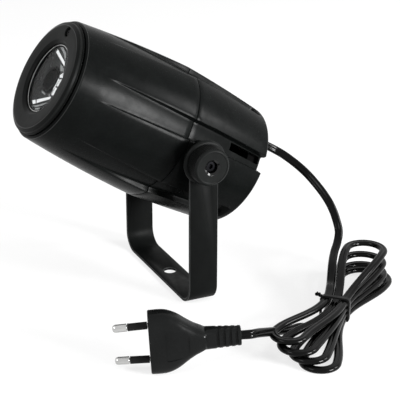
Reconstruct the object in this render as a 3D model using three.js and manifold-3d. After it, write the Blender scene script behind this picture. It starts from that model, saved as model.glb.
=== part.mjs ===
// Pinspot light on a U-bracket, with its mains lead tied in a hank. Millimetres, +Z up, the light faces -Y.
import * as THREE from "three";
import { mergeGeometries, mergeVertices } from "three/addons/utils/BufferGeometryUtils.js";
import Module from "manifold-3d";

const wasm = await Module();
wasm.setup();

// Fits that the whole light shares
const gap = 0.3;
const overrun = 2;
const plugLift = 0.05;

// Bracket: one bent steel strap
const strapWidth = 16.5;
const strapThickness = 1.5;
const bracketSpan = 90.2;
const bendRadius = 10.5;
const pivotHeight = 82.9;
const baseHoleRadius = 3.5;
const tiltDegrees = 31.4;

// Housing: stations run along the body's axis from the pivot towards the front
const bellyRadius = 38.2;
const seamStation = 9.3;
const frontRimRadius = 33.2;
const frontRimStation = 77.2;
const frontRimChamfer = 1.2;
const frontCrown = 0.75;
const rearRadius = 34.3;
const rearStation = -43.5;
const rearCrown = 0.45;
const rearRounding = 2.4;
const channelCount = 6;
const channelPhaseDegrees = 17.5;
const channelDegrees = 22;
const channelWallDegrees = 1.2;
const channelStartStation = 64;
const channelSeamDepth = 2.6;
const channelRearDepth = 3.4;
const channelCloseStation = -36.5;
const channelCloseLength = 3;
const openChannels = [0, 3];
const frontBore = 30.5;
const rearBore = 28.5;
const windowLength = 21.6;
const windowWidth = 4.4;
const windowEndStation = -40;
const windowOffsetDegrees = 3.6;
const notchWidth = 9.4;
const notchDepth = 2.4;
const wallReach = 12;

// Joint between the two shells
const tongueLength = 6;
const tongueWall = 1.8;
const tongueRoot = 4.5;

// Front ring, its lens and its lock screw
const ringStation = 82;
const ringFaceRadius = 29.6;
const ringRadius = 31.4;
const ringChamfer = 1.7;
const ringThickness = 2.8;
const ringLipRadius = 32;
const ringLipHeight = 0.7;
const openingRadius = 19.1;
const openingDepth = 1.5;
const openingLip = 0.6;
const openingBevelRadius = 22.6;
const spigotRadius = 28.9;
const spigotWall = 1.9;
const spigotLength = 3;
const spigotSeatDepth = 6.5;
const lensRadius = 20.6;
const lensThickness = 1.1;
const lockScrewRadius = 25.8;
const lockScrewSink = 0.7;
const lockBossRadius = 3.4;
const lockBossLength = 8;

// Reflector, light tube and emitter
const reflectorFacets = 16;
const reflectorDepth = 2;
const reflectorHole = 7.5;
const reflectorWall = 1.3;
const reflectorFlange = 1.2;
const tubeWall = 1.2;
const tubeProud = 0.9;
const emitterBaseRadius = 4;
const emitterBaseHeight = 1.2;
const emitterDomeRadius = 2.6;
const ledBoardRadius = 10;
const ledBoardThickness = 1.6;

// Heat sink and the ledge that it is screwed to
const sinkFrontStation = 59.3;
const sinkFlangeThickness = 3;
const sinkFinLength = 20;
const sinkFinThickness = 1.6;
const sinkFinPitch = 6;
const sinkFinPairs = 3;
const sinkFinRadius = 23.2;
const ledgeBore = 24;
const ledgeLength = 6;
const sinkScrewRadius = 26.3;
const sinkWireHole = 1.6;

// Screws
const smallScrewShank = 1.2;
const smallScrewHead = 2;
const smallScrewHeadHeight = 1.2;
const smallScrewLength = 9;
const rearScrewShank = 1.4;
const rearScrewHead = 3;
const rearScrewHeadHeight = 2;
const rearScrewLength = 14;
const screwDriveDepth = 0.7;
const screwDriveRadius = 1;

// Rear plate and the posts that hold it
const platePlane = -37;
const plateThickness = 2.5;
const plateScrewCircle = 24.6;
const plateScrewDegrees = [47.5, 167.5, 287.5];
const postRadius = 3.4;
const postLength = 18;
const postRibWidth = 3;
const postRibReach = 6;

// Moulded boot that the lead leaves through
const bootHeight = 19;
const bootNeckRadius = 4.3;
const bootCollarRadius = 6.2;
const bootCollarLength = 2;
const bootRootRadius = 4.6;
const bootTipRadius = 3.3;
const bootTaper = 1.2;
const bootTipStation = -57;
const bootClipRadius = 5.5;

// Driver
const driverHalfWidth = 21;
const driverLength = 35;
const driverThickness = 1.6;
const driverPlane = -6.8;
const driverRearStation = -31;
const railGrip = 2.5;
const railHeight = 6;
const railLength = 18;
const transformerWidth = 16;
const transformerLength = 14;
const transformerHeight = 13;
const transformerAside = 6;
const transformerStation = -6;
const capacitorRadius = 4.5;
const capacitorHeight = 12;
const capacitorAside = -11;
const capacitorStation = -20;
const wireRadius = 0.9;

// Pivot: bosses, inserts, washers and clamp knobs
const bossRadius = 8.4;
const bossInnerReach = 26;
const washerThickness = 1.1;
const studRadius = 2.9;
const studInnerReach = 28.5;
const insertRadius = 4;
const insertInnerReach = 28;
const insertLength = 10;
const insertClearance = 0.15;
const knobFlangeRadius = 12;
const knobFlangeThickness = 2;
const knobRadius = 10.3;
const knobLength = 8.3;
const knobRibDepth = 0.45;
const knobRibs = 24;
const knobEdge = 0.9;
const knobRecessDepth = 3;
const knobRecessRadius = 4.1;

// Lead: a flat two-core cord
const cordWidth = 4.7;
const cordThickness = 2.9;
const cordRadius = 2;

// Hank: four loops, one over another, drawn in at the tie and fanned out at their ends.
// Each bend has its low and high side, its reach from the tie and its turn about the tie in degrees.
const hankX = 90;
const hankY = 56;
const hankTurnDegrees = -45;
const hankLoops = 4;
const stretchSteps = [4, 5, 6, 5, 4];
const climbReach = 25;
const waistOuter = -5.9;
const waistInner = 0.1;
const waistFar = 5.6;
const waistHeights = [3.1, 7.05, 11, 14.95];
const nearHeights = [1.55, 5.8, 9.9, 14];
const farHeights = [1.8, 5.7, 12.2, 19.2];
const nearBends = [
  [-22, 8.5, 46, 0],
  [-7.5, 9.5, 50.5, 5],
  [-10, 7, 45, 5],
  [-11, 6, 43, -3.5],
  [-15, 3, 31, -13],
];
const farBends = [
  [-11, 15.4, 50, -2],
  [-8.8, 14.2, 50, 0],
  [-8.5, 13.5, 50, 0],
  [-7.9, 12.6, 51, -1],
  [-14, 13.5, 50, 0],
];
const hankEndSteps = 1;
const glanceTurns = 0.001;
const tieWidth = 2.6;
const tieThickness = 1.2;
const tieTailLength = 6.5;
const tieTailWidth = 2.2;
const tieTailThickness = 1.6;

// Plug: a flat two-pin mains plug standing on its narrow edge
const plugX = 100.56;
const plugY = -55.5;
const plugTurnDegrees = -111.5;
const plugPitchDegrees = 3.3;
const plugHalfHeight = 16.4;
const plugHalfThickness = 6.9;
const plugBodyLength = 27.2;
const plugNeckRadius = 5.8;
const plugReliefPlain = 5.5;
const plugReliefLength = 17.8;
const plugReliefRadius = 5.5;
const plugReliefTip = 4.7;
const plugReliefGroove = 0.8;
const plugReliefFlatness = 0.85;
const plugReliefRibs = 4;
const pinPitch = 18.6;
const pinRadius = 2;
const pinLength = 19;
const pinSleeveLength = 10;
const pinSleeveRadius = 1.9;
const pinCoreRadius = 1.2;
const pinRoot = 3;
const pinLeanDegrees = 1.6;

// Routes of the lead and the tail; their ends are worked out where the pieces meet
const leadRoute = [
  [0.6, 66.4, 64.6],
  [2.6, 69.9, 62.3],
  [5.7, 73.7, 59.2],
  [10, 77.1, 55.9],
  [15.2, 80, 52.2],
  [20.4, 82, 48.6],
  [25.4, 83.6, 45],
  [30, 85, 41],
  [33.6, 86.2, 36.4],
  [37, 86.8, 31.2],
  [41, 86.2, 26.2],
  [45.6, 82.8, 22.2],
  [52, 77.1, 19.6],
  [60.8, 70.8, 17.4],
];
const tailRoute = [
  [115.6, -3.4, 17.2],
  [111.2, 3.4, 14],
  [106.2, 11.2, 10.4],
  [101.4, 18.9, 6.9],
  [97.4, 26.2, 4.3],
  [95.2, 32.6, 3.3],
];

// Places that follow from the sizes above
const loopSteps = stretchSteps.reduce((sum, steps) => sum + steps, 0);
const frontShellEnd = seamStation + gap / 2;
const rearShellEnd = seamStation - gap / 2;
const bracketHalfSpan = bracketSpan / 2;
const legInner = bracketHalfSpan - strapThickness;
const washerInner = legInner - gap - washerThickness;
const bossFace = washerInner - gap;
const knobInner = bracketHalfSpan + gap;
const knobFace = knobInner + knobFlangeThickness + knobLength;
const knobRecessFloor = knobFace - knobRecessDepth;
const shellFront = frontRimStation + frontRimChamfer;
const ringBack = ringStation - ringThickness;
const lensFront = ringStation - openingDepth - openingLip - gap;
const lensBack = lensFront - lensThickness;
const reflectorRim = lensBack - gap;
const ledBoardFront = sinkFrontStation + ledBoardThickness;
const sinkFlangeBack = sinkFrontStation - sinkFlangeThickness;
const ledgeFront = sinkFlangeBack - gap;
const plateFront = platePlane + plateThickness;
const driverTop = driverPlane + driverThickness;
const leadStart = bootTipStation - gap;

// Materials
const matteBlack = new THREE.MeshStandardMaterial({ color: 0x1f2120, roughness: 0.55, metalness: 0 });
const strapBlack = new THREE.MeshStandardMaterial({ color: 0x1b1c1c, roughness: 0.6, metalness: 0.3 });
const cordBlack = new THREE.MeshStandardMaterial({ color: 0x161716, roughness: 0.4, metalness: 0 });
const rubberBlack = new THREE.MeshStandardMaterial({ color: 0x151515, roughness: 0.75, metalness: 0 });
const mirrorMetal = new THREE.MeshStandardMaterial({ color: 0xe8eaec, roughness: 0.08, metalness: 1 });
const steelMetal = new THREE.MeshStandardMaterial({ color: 0xb8babc, roughness: 0.3, metalness: 1 });
const aluminiumMetal = new THREE.MeshStandardMaterial({ color: 0xa9adb0, roughness: 0.45, metalness: 1 });
const brassMetal = new THREE.MeshStandardMaterial({ color: 0xb59a52, roughness: 0.35, metalness: 1 });
const clearPlastic = new THREE.MeshStandardMaterial({ color: 0xeef2f4, roughness: 0.05, metalness: 0 });
const boardWhite = new THREE.MeshStandardMaterial({ color: 0xe9e9e4, roughness: 0.5, metalness: 0 });
const boardGreen = new THREE.MeshStandardMaterial({ color: 0x1f5a3a, roughness: 0.5, metalness: 0 });
const emitterYellow = new THREE.MeshStandardMaterial({ color: 0xe6cf63, roughness: 0.35, metalness: 0 });
const coilBrown = new THREE.MeshStandardMaterial({ color: 0x6b4a2a, roughness: 0.6, metalness: 0 });
const wireBlue = new THREE.MeshStandardMaterial({ color: 0x2a4fa0, roughness: 0.5, metalness: 0 });
const wireBrown = new THREE.MeshStandardMaterial({ color: 0x6a3d1e, roughness: 0.5, metalness: 0 });

// Groups: the head turns on the pivot axis, and its own +Z is the body's axis
const light = new THREE.Group();
const head = new THREE.Group();
head.position.z = pivotHeight;
head.rotation.x = Math.PI / 2 - THREE.MathUtils.degToRad(tiltDegrees);
light.add(head);
const cordMeshes = [];

function addPiece(parent, name, geometry, material) {
  const mesh = new THREE.Mesh(geometry, material);
  mesh.name = name;
  parent.add(mesh);
  return mesh;
}

function addCordPiece(name, geometry, material) {
  const mesh = addPiece(light, name, geometry, material);
  cordMeshes.push(mesh);
  return mesh;
}

// Signed volume of an indexed geometry, to turn its faces outwards
function facedOutwards(geometry) {
  const place = geometry.attributes.position;
  const corners = geometry.index.array;
  const a = new THREE.Vector3();
  const b = new THREE.Vector3();
  const c = new THREE.Vector3();
  let volume = 0;
  for (let i = 0; i < corners.length; i += 3) {
    a.fromBufferAttribute(place, corners[i]);
    b.fromBufferAttribute(place, corners[i + 1]);
    c.fromBufferAttribute(place, corners[i + 2]);
    volume += a.dot(b.cross(c));
  }
  if (volume < 0) {
    for (let i = 0; i < corners.length; i += 3) {
      [corners[i], corners[i + 1]] = [corners[i + 1], corners[i]];
    }
  }
  return geometry;
}

function welded(geometry) {
  const bare = geometry.clone();
  bare.deleteAttribute("normal");
  bare.deleteAttribute("uv");
  return facedOutwards(mergeVertices(bare));
}

function solidOf(geometry) {
  const whole = welded(geometry);
  return new wasm.Manifold(
    new wasm.Mesh({
      numProp: 3,
      vertProperties: new Float32Array(whole.attributes.position.array),
      triVerts: new Uint32Array(whole.index.array),
    }),
  );
}

function geometryOf(solid) {
  const mesh = solid.getMesh();
  const geometry = new THREE.BufferGeometry();
  geometry.setAttribute("position", new THREE.BufferAttribute(new Float32Array(mesh.vertProperties), 3));
  geometry.setIndex(new THREE.BufferAttribute(new Uint32Array(mesh.triVerts), 1));
  return geometry;
}

// A turned piece about Z from [radius, height] points; a ring's outline closes on itself
function turned(outline, sides = 40) {
  const points = outline.map(([radius, height]) => new THREE.Vector2(radius, height));
  const onAxis = outline[0][0] === 0 && outline[outline.length - 1][0] === 0;
  if (!onAxis) {
    points.push(points[0].clone());
  }
  return welded(new THREE.LatheGeometry(points, sides).rotateX(Math.PI / 2));
}

function disc(radius, low, high, sides = 32) {
  return turned([[0, low], [radius, low], [radius, high], [0, high]], sides);
}

function ring(inner, outer, low, high, sides = 40) {
  return turned([[inner, low], [outer, low], [outer, high], [inner, high]], sides);
}

function box(sizeX, sizeY, sizeZ, x, y, z) {
  return new THREE.BoxGeometry(sizeX, sizeY, sizeZ).translate(x, y, z);
}

// Closed rings of points joined into one skin; the last ring meets the first when wrapped
function lofted(rings, wrapped) {
  const sides = rings[0].length;
  const place = [];
  const corners = [];
  for (const points of rings) {
    for (const point of points) {
      place.push(point.x, point.y, point.z);
    }
  }
  const bands = wrapped ? rings.length : rings.length - 1;
  for (let i = 0; i < bands; i += 1) {
    const next = (i + 1) % rings.length;
    for (let k = 0; k < sides; k += 1) {
      const after = (k + 1) % sides;
      const a = i * sides + k;
      const b = i * sides + after;
      const c = next * sides + after;
      const d = next * sides + k;
      corners.push(a, b, c, a, c, d);
    }
  }
  if (!wrapped) {
    for (let k = 1; k < sides - 1; k += 1) {
      const last = (rings.length - 1) * sides;
      corners.push(0, k + 1, k);
      corners.push(last, last + k, last + k + 1);
    }
  }
  const geometry = new THREE.BufferGeometry();
  geometry.setAttribute("position", new THREE.Float32BufferAttribute(place, 3));
  geometry.setIndex(corners);
  return facedOutwards(geometry);
}

// A round tube along hand-chosen points
function tube(points, radius, sides, steps) {
  const section = new THREE.Shape();
  for (let k = 0; k < sides; k += 1) {
    const turn = (2 * Math.PI * k) / sides;
    const x = radius * Math.cos(turn);
    const y = radius * Math.sin(turn);
    if (k === 0) {
      section.moveTo(x, y);
    } else {
      section.lineTo(x, y);
    }
  }
  section.closePath();
  const path = new THREE.CatmullRomCurve3(points, false, "centripetal");
  const extrusion = new THREE.ExtrudeGeometry(section, { steps, extrudePath: path, bevelEnabled: false });
  return welded(extrusion);
}

// Outer radius of the housing over its raised panels
function housingRadius(station) {
  const front = station > seamStation;
  const endStation = front ? frontRimStation : rearStation;
  const endRadius = front ? frontRimRadius : rearRadius;
  const crown = front ? frontCrown : rearCrown;
  const share = (station - seamStation) / (endStation - seamStation);
  return bellyRadius + (endRadius - bellyRadius) * share + 4 * crown * share * (1 - share);
}

// Depth of the lengthwise channels, which fade in behind the front rim
function channelDepth(station) {
  if (station > seamStation) {
    const share = (channelStartStation - station) / (channelStartStation - seamStation);
    return channelSeamDepth * Math.max(0, share);
  }
  const share = (seamStation - station) / (seamStation - rearStation);
  return channelSeamDepth + (channelRearDepth - channelSeamDepth) * Math.min(1, share);
}

// Share of a closed channel's depth that is left at a station: it runs out before the rear rim
function closedShare(station) {
  const runEnd = channelCloseStation - channelCloseLength;
  return THREE.MathUtils.clamp((station - runEnd) / channelCloseLength, 0, 1);
}

// Columns round the housing: each has a roll angle, its share of the depth and its channel's kind
function housingColumns() {
  const columns = [];
  const pitch = 360 / channelCount;
  const halfChannel = channelDegrees / 2;
  const halfPanel = pitch / 2 - halfChannel;
  for (let k = 0; k < channelCount; k += 1) {
    const centre = channelPhaseDegrees + k * pitch;
    const floorHalf = halfChannel - channelWallDegrees;
    for (const [away, share] of [
      [-halfChannel, 0],
      [-floorHalf, 1],
      [0, 1],
      [floorHalf, 1],
      [halfChannel, 0],
      [halfChannel + halfPanel / 2, 0],
      [halfChannel + halfPanel, 0],
      [halfChannel + (halfPanel * 3) / 2, 0],
    ]) {
      const open = openChannels.includes(k);
      columns.push({ turn: THREE.MathUtils.degToRad(centre + away), share, open });
    }
  }
  return columns;
}

function housingRing(station, radius, depth) {
  return housingColumns().map(({ turn, share, open }) => {
    const reach = radius - depth * share * (open ? 1 : closedShare(station));
    return new THREE.Vector3(reach * Math.cos(turn), reach * Math.sin(turn), station);
  });
}

// A piece of the housing from outer rings, front to rear, and the radii of its bore, rear to front
function housingShell(outerRings, boreRings) {
  const bore = boreRings.map(([station, radius]) => housingRing(station, radius, 0));
  return lofted([...outerRings, ...bore], true);
}

function stationsBetween(from, to, count) {
  const stations = [];
  for (let i = 0; i <= count; i += 1) {
    stations.push(from + ((to - from) * i) / count);
  }
  return stations;
}

// Places a geometry made about the axis at a roll angle and a distance from it
function atRoll(geometry, degrees, reach) {
  return geometry.translate(reach, 0, 0).rotateZ(THREE.MathUtils.degToRad(degrees));
}

// Turns a piece made along +Z so that it points along +X or -X from the pivot
function alongPivot(geometry, side) {
  return geometry.rotateY((side * Math.PI) / 2);
}

function rearBoreAt(station) {
  const share = (rearShellEnd - station) / (rearShellEnd - rearStation);
  return frontBore + (rearBore - frontBore) * share;
}

// A pan-head screw along Z: its shank runs down from the seat, and its drive is sunk in the head
function screwGeometry(shank, headRadius, headHeight, length, seat, up) {
  const outline = [
    [0, -length],
    [shank, -length],
    [shank, 0],
    [headRadius, 0],
    [headRadius, headHeight / 2],
    [(headRadius * 3) / 4, headHeight],
    [screwDriveRadius, headHeight],
    [screwDriveRadius, headHeight - screwDriveDepth],
    [0, headHeight - screwDriveDepth],
  ];
  const geometry = turned(outline, 12);
  if (!up) {
    geometry.rotateX(Math.PI);
  }
  return geometry.translate(0, 0, seat);
}

function makeFrontShell() {
  const outer = [housingRing(shellFront, frontRimRadius - frontRimChamfer, 0)];
  outer.push(housingRing(frontRimStation, frontRimRadius, 0));
  outer.push(housingRing(channelStartStation, housingRadius(channelStartStation), 0));
  for (const station of stationsBetween(channelStartStation, frontShellEnd, 5).slice(1)) {
    outer.push(housingRing(station, housingRadius(station), channelDepth(station)));
  }
  const seatStation = shellFront - spigotSeatDepth;
  const spigotBore = spigotRadius + gap;
  const shell = housingShell(outer, [
    [frontShellEnd, frontBore],
    [seatStation, frontBore],
    [seatStation, spigotBore],
    [shellFront, spigotBore],
  ]);
  const ledge = ring(ledgeBore, frontBore + overrun / 2, ledgeFront - ledgeLength, ledgeFront);
  const tongueOuter = rearBoreAt(rearShellEnd - tongueLength) - gap;
  const tongue = turned([
    [tongueOuter - tongueWall, frontShellEnd - tongueLength],
    [tongueOuter, frontShellEnd - tongueLength],
    [tongueOuter, frontShellEnd],
    [frontBore + overrun / 2, frontShellEnd],
    [frontBore + overrun / 2, frontShellEnd + tongueRoot],
    [tongueOuter - tongueWall, frontShellEnd + tongueRoot],
  ]);
  const bossTop = ringBack - spigotLength - gap;
  const boss = disc(lockBossRadius, bossTop - lockBossLength, bossTop, 16).translate(0, lockScrewRadius, 0);
  const slotWidth = 2 * (bossRadius + gap);
  const tongueSlot = box(2 * frontBore, slotWidth, bossRadius + gap, 0, 0, (bossRadius + gap) / 2);
  const bossBore = disc(smallScrewShank + gap, bossTop - lockBossLength + gap, bossTop + overrun, 16);
  let solid = solidOf(shell).add(solidOf(ledge)).add(solidOf(tongue)).add(solidOf(boss));
  solid = solid.subtract(solidOf(tongueSlot));
  solid = solid.subtract(solidOf(bossBore.translate(0, lockScrewRadius, 0)));
  for (const side of [-1, 1]) {
    const bore = disc(smallScrewShank + gap, ledgeFront - ledgeLength - overrun, ledgeFront + overrun, 16);
    solid = solid.subtract(solidOf(bore.translate(side * sinkScrewRadius, 0, 0)));
  }
  addPiece(head, "front_shell", geometryOf(solid), matteBlack);
}

function makeRearShell() {
  const closeEnd = channelCloseStation - channelCloseLength;
  const roundingStart = rearStation + rearRounding;
  const stations = [...stationsBetween(rearShellEnd, channelCloseStation, 4), closeEnd, roundingStart];
  const outer = stations.map((at) => housingRing(at, housingRadius(at), channelDepth(at)));
  for (const degrees of [30, 60, 90]) {
    const turn = THREE.MathUtils.degToRad(degrees);
    const station = rearStation + rearRounding * (1 - Math.sin(turn));
    const radius = housingRadius(roundingStart) - rearRounding * (1 - Math.cos(turn));
    outer.push(housingRing(station, radius, channelDepth(station)));
  }
  const shell = housingShell(outer, [
    [rearStation, rearBore],
    [rearShellEnd, frontBore],
  ]);
  let solid = solidOf(shell);
  const postFront = plateFront + gap + postLength;
  for (const degrees of plateScrewDegrees) {
    const post = disc(postRadius, plateFront + gap, postFront, 16);
    const ribStation = (plateFront + gap + postFront) / 2;
    const rib = box(postRibReach, postRibWidth, postLength, postRibReach / 2, 0, ribStation);
    solid = solid.add(solidOf(atRoll(post, degrees, plateScrewCircle)));
    solid = solid.add(solidOf(atRoll(rib, degrees, plateScrewCircle)));
  }
  const railStation = driverRearStation + railLength / 2;
  const railInner = driverHalfWidth - railGrip;
  const railOuter = rearBore + overrun / 2;
  const railMiddle = driverPlane + driverThickness / 2;
  for (const side of [-1, 1]) {
    const middle = (side * (railInner + railOuter)) / 2;
    const rail = box(railOuter - railInner, railHeight, railLength, middle, railMiddle, railStation);
    solid = solid.add(solidOf(rail));
    const boss = alongPivot(disc(bossRadius, bossInnerReach, bossFace, 32), side);
    solid = solid.add(solidOf(boss));
  }
  const slot = box(
    2 * (driverHalfWidth + gap),
    driverThickness + 2 * gap,
    railLength + 2 * overrun,
    0,
    railMiddle,
    railStation,
  );
  solid = solid.subtract(solidOf(slot));
  for (const side of [-1, 1]) {
    const insertEnd = insertInnerReach + insertLength + gap;
    const pocket = disc(insertRadius + gap, bossInnerReach - overrun, insertEnd, 24);
    const bore = disc(studRadius + gap, insertEnd - overrun, bossFace + overrun, 24);
    solid = solid.subtract(solidOf(alongPivot(pocket, side)));
    solid = solid.subtract(solidOf(alongPivot(bore, side)));
  }
  for (const degrees of plateScrewDegrees) {
    const bore = disc(rearScrewShank + gap, plateFront - overrun, postFront - overrun, 16);
    solid = solid.subtract(solidOf(atRoll(bore, degrees, plateScrewCircle)));
  }
  for (const k of openChannels) {
    const centre = channelPhaseDegrees + (k * 360) / channelCount;
    const windowStation = windowEndStation + windowLength / 2;
    const notchStation = rearStation + (notchDepth - overrun) / 2;
    const cut = box(wallReach, windowWidth, windowLength, 0, 0, windowStation);
    const notch = box(wallReach, notchWidth, notchDepth + overrun, 0, 0, notchStation);
    solid = solid.subtract(solidOf(atRoll(cut, centre + windowOffsetDegrees, rearRadius)));
    solid = solid.subtract(solidOf(atRoll(notch, centre, rearRadius)));
  }
  addPiece(head, "rear_shell", geometryOf(solid), matteBlack);
}

function makeRearPlate() {
  const radius = rearBoreAt(platePlane) - gap;
  let solid = solidOf(disc(radius, platePlane, plateFront, 48));
  const hole = disc(bootNeckRadius + gap, platePlane - overrun, plateFront + overrun, 24);
  solid = solid.subtract(solidOf(hole.translate(0, bootHeight, 0)));
  for (const degrees of plateScrewDegrees) {
    const bore = disc(rearScrewShank + gap, platePlane - overrun, plateFront + overrun, 16);
    solid = solid.subtract(solidOf(atRoll(bore, degrees, plateScrewCircle)));
  }
  addPiece(head, "rear_plate", geometryOf(solid), matteBlack);
  plateScrewDegrees.forEach((degrees, k) => {
    const screw = screwGeometry(
      rearScrewShank,
      rearScrewHead,
      rearScrewHeadHeight,
      rearScrewLength,
      platePlane - gap,
      false,
    );
    addPiece(head, `rear_screw_${k + 1}`, atRoll(screw, degrees, plateScrewCircle), steelMetal);
  });
}

function makeBoot() {
  const collarFront = platePlane - gap;
  const collarBack = collarFront - bootCollarLength;
  const clipBack = plateFront + gap;
  const boot = turned(
    [
      [0, bootTipStation],
      [bootTipRadius, bootTipStation],
      [bootRootRadius, collarBack - bootTaper],
      [bootCollarRadius, collarBack],
      [bootCollarRadius, collarFront],
      [bootNeckRadius, collarFront],
      [bootNeckRadius, clipBack],
      [bootClipRadius, clipBack],
      [bootClipRadius, clipBack + bootCollarLength],
      [0, clipBack + bootCollarLength],
    ],
    24,
  );
  addPiece(head, "cord_boot", boot.translate(0, bootHeight, 0), rubberBlack);
}

function makeFrontRing() {
  const lipStation = ringStation - openingDepth;
  const pocketFloor = lipStation - openingLip;
  const profile = turned([
    [openingRadius, pocketFloor],
    [lensRadius + gap, pocketFloor],
    [lensRadius + gap, ringBack],
    [spigotRadius - spigotWall, ringBack],
    [spigotRadius - spigotWall, ringBack - spigotLength],
    [spigotRadius, ringBack - spigotLength],
    [spigotRadius, ringBack],
    [ringLipRadius, ringBack],
    [ringLipRadius, ringBack + ringLipHeight],
    [ringRadius, ringBack + ringLipHeight],
    [ringRadius, ringStation - ringChamfer],
    [ringFaceRadius, ringStation],
    [openingBevelRadius, ringStation],
    [openingRadius, lipStation],
  ]);
  const headSeat = ringStation - lockScrewSink - smallScrewHeadHeight - gap;
  const sink = disc(smallScrewHead + gap, headSeat, ringStation + overrun, 16);
  const bore = disc(smallScrewShank + gap, ringBack - overrun, headSeat + overrun / 2, 16);
  const solid = solidOf(profile)
    .subtract(solidOf(sink.translate(0, lockScrewRadius, 0)))
    .subtract(solidOf(bore.translate(0, lockScrewRadius, 0)));
  addPiece(head, "front_ring", geometryOf(solid), matteBlack);
  const screw = screwGeometry(
    smallScrewShank,
    smallScrewHead,
    smallScrewHeadHeight,
    smallScrewLength,
    headSeat + gap,
    true,
  );
  addPiece(head, "ring_screw", screw.translate(0, lockScrewRadius, 0), strapBlack);
}

function makeOptics() {
  addPiece(head, "front_lens", disc(lensRadius, lensBack, lensFront, 48), clearPlastic);
  const hubStation = reflectorRim - reflectorDepth;
  const skirtRadius = openingRadius;
  const reflector = turned(
    [
      [reflectorHole, hubStation],
      [reflectorHole, hubStation - reflectorWall],
      [skirtRadius - reflectorWall, reflectorRim - reflectorFlange - reflectorWall / 2],
      [skirtRadius - reflectorWall, sinkFrontStation + gap],
      [skirtRadius, sinkFrontStation + gap],
      [skirtRadius, reflectorRim - reflectorFlange],
      [lensRadius, reflectorRim - reflectorFlange],
      [lensRadius, reflectorRim],
      [skirtRadius, reflectorRim],
    ],
    reflectorFacets,
  );
  addPiece(head, "reflector", reflector, mirrorMetal);
  const tubeOuter = reflectorHole * Math.cos(Math.PI / reflectorFacets) - gap;
  const lightTube = ring(tubeOuter - tubeWall, tubeOuter, ledBoardFront + gap, hubStation + tubeProud, 32);
  addPiece(head, "light_tube", lightTube, matteBlack);
  addPiece(head, "led_board", disc(ledBoardRadius, sinkFrontStation, ledBoardFront, 8), boardWhite);
  const domeBase = ledBoardFront + emitterBaseHeight;
  const dome = [0, 30, 60, 90].map((degrees) => {
    const turn = THREE.MathUtils.degToRad(degrees);
    const reach = degrees === 90 ? 0 : Math.cos(turn);
    return [emitterDomeRadius * reach, domeBase + emitterDomeRadius * Math.sin(turn)];
  });
  const emitter = turned(
    [[0, ledBoardFront], [emitterBaseRadius, ledBoardFront], [emitterBaseRadius, domeBase], ...dome],
    16,
  );
  addPiece(head, "led_emitter", emitter, emitterYellow);
}

function makeHeatSink() {
  const flange = disc(spigotRadius, sinkFlangeBack, sinkFrontStation, 48);
  let solid = solidOf(flange);
  const finStation = sinkFlangeBack - sinkFinLength / 2 + overrun / 2;
  for (let k = -sinkFinPairs; k <= sinkFinPairs; k += 1) {
    const aside = k * sinkFinPitch;
    const reach = Math.sqrt(sinkFinRadius ** 2 - (Math.abs(aside) + sinkFinThickness / 2) ** 2);
    const fin = box(sinkFinThickness, 2 * reach, sinkFinLength + overrun, aside, 0, finStation);
    solid = solid.add(solidOf(fin));
  }
  for (const side of [-1, 1]) {
    const bore = disc(smallScrewShank + gap, sinkFlangeBack - overrun, sinkFrontStation + overrun, 16);
    solid = solid.subtract(solidOf(bore.translate(side * sinkScrewRadius, 0, 0)));
  }
  const wireHole = disc(sinkWireHole, sinkFlangeBack - overrun, sinkFrontStation + overrun, 12);
  wireHole.translate(sinkFinPitch / 2, -ledBoardRadius - 2 * sinkWireHole, 0);
  solid = solid.subtract(solidOf(wireHole));
  addPiece(head, "heat_sink", geometryOf(solid), aluminiumMetal);
  for (const [name, side] of [["sink_screw_right", 1], ["sink_screw_left", -1]]) {
    const screw = screwGeometry(
      smallScrewShank,
      smallScrewHead,
      smallScrewHeadHeight,
      smallScrewLength,
      sinkFrontStation + gap,
      true,
    );
    addPiece(head, name, screw.translate(side * sinkScrewRadius, 0, 0), steelMetal);
  }
}

function makeDriver() {
  const middle = driverRearStation + driverLength / 2;
  const boardHeight = driverPlane + driverThickness / 2;
  const board = box(2 * driverHalfWidth, driverThickness, driverLength, 0, boardHeight, middle);
  addPiece(head, "driver_board", board, boardGreen);
  const transformer = box(
    transformerWidth,
    transformerHeight,
    transformerLength,
    transformerAside,
    driverTop + transformerHeight / 2,
    transformerStation,
  );
  addPiece(head, "driver_transformer", transformer, coilBrown);
  const capacitor = disc(capacitorRadius, 0, capacitorHeight, 20)
    .rotateX(-Math.PI / 2)
    .translate(capacitorAside, driverTop, capacitorStation);
  addPiece(head, "driver_capacitor", capacitor, boardWhite);
}

// The low-voltage pair runs from the driver between two fins to the emitter's board
function makeLedLead() {
  const aside = sinkFinPitch / 2;
  const along = driverTop + gap + wireRadius;
  const down = -ledBoardRadius - 2 * sinkWireHole;
  const top = ledBoardFront + gap + wireRadius;
  const boardFront = driverRearStation + driverLength;
  const points = [
    [aside, along, boardFront - transformerLength / 4 + driverThickness],
    [aside, along, boardFront + 2 * sinkFinPitch],
    [aside, (along + down) / 2, (boardFront + sinkFlangeBack - sinkFinLength) / 2 + sinkFinPitch],
    [aside, down, sinkFlangeBack - sinkFinLength / 2],
    [aside, down, sinkFlangeBack - sinkFlangeThickness],
    [aside, down, sinkFrontStation],
    [aside, down + wireRadius, top - wireRadius / 2],
    [aside, down + 2 * sinkWireHole, top],
    [aside, down + 4 * sinkWireHole, top],
  ].map((point) => new THREE.Vector3(...point));
  addPiece(head, "led_lead", tube(points, wireRadius, 8, 26), wireBlue);
}

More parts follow.
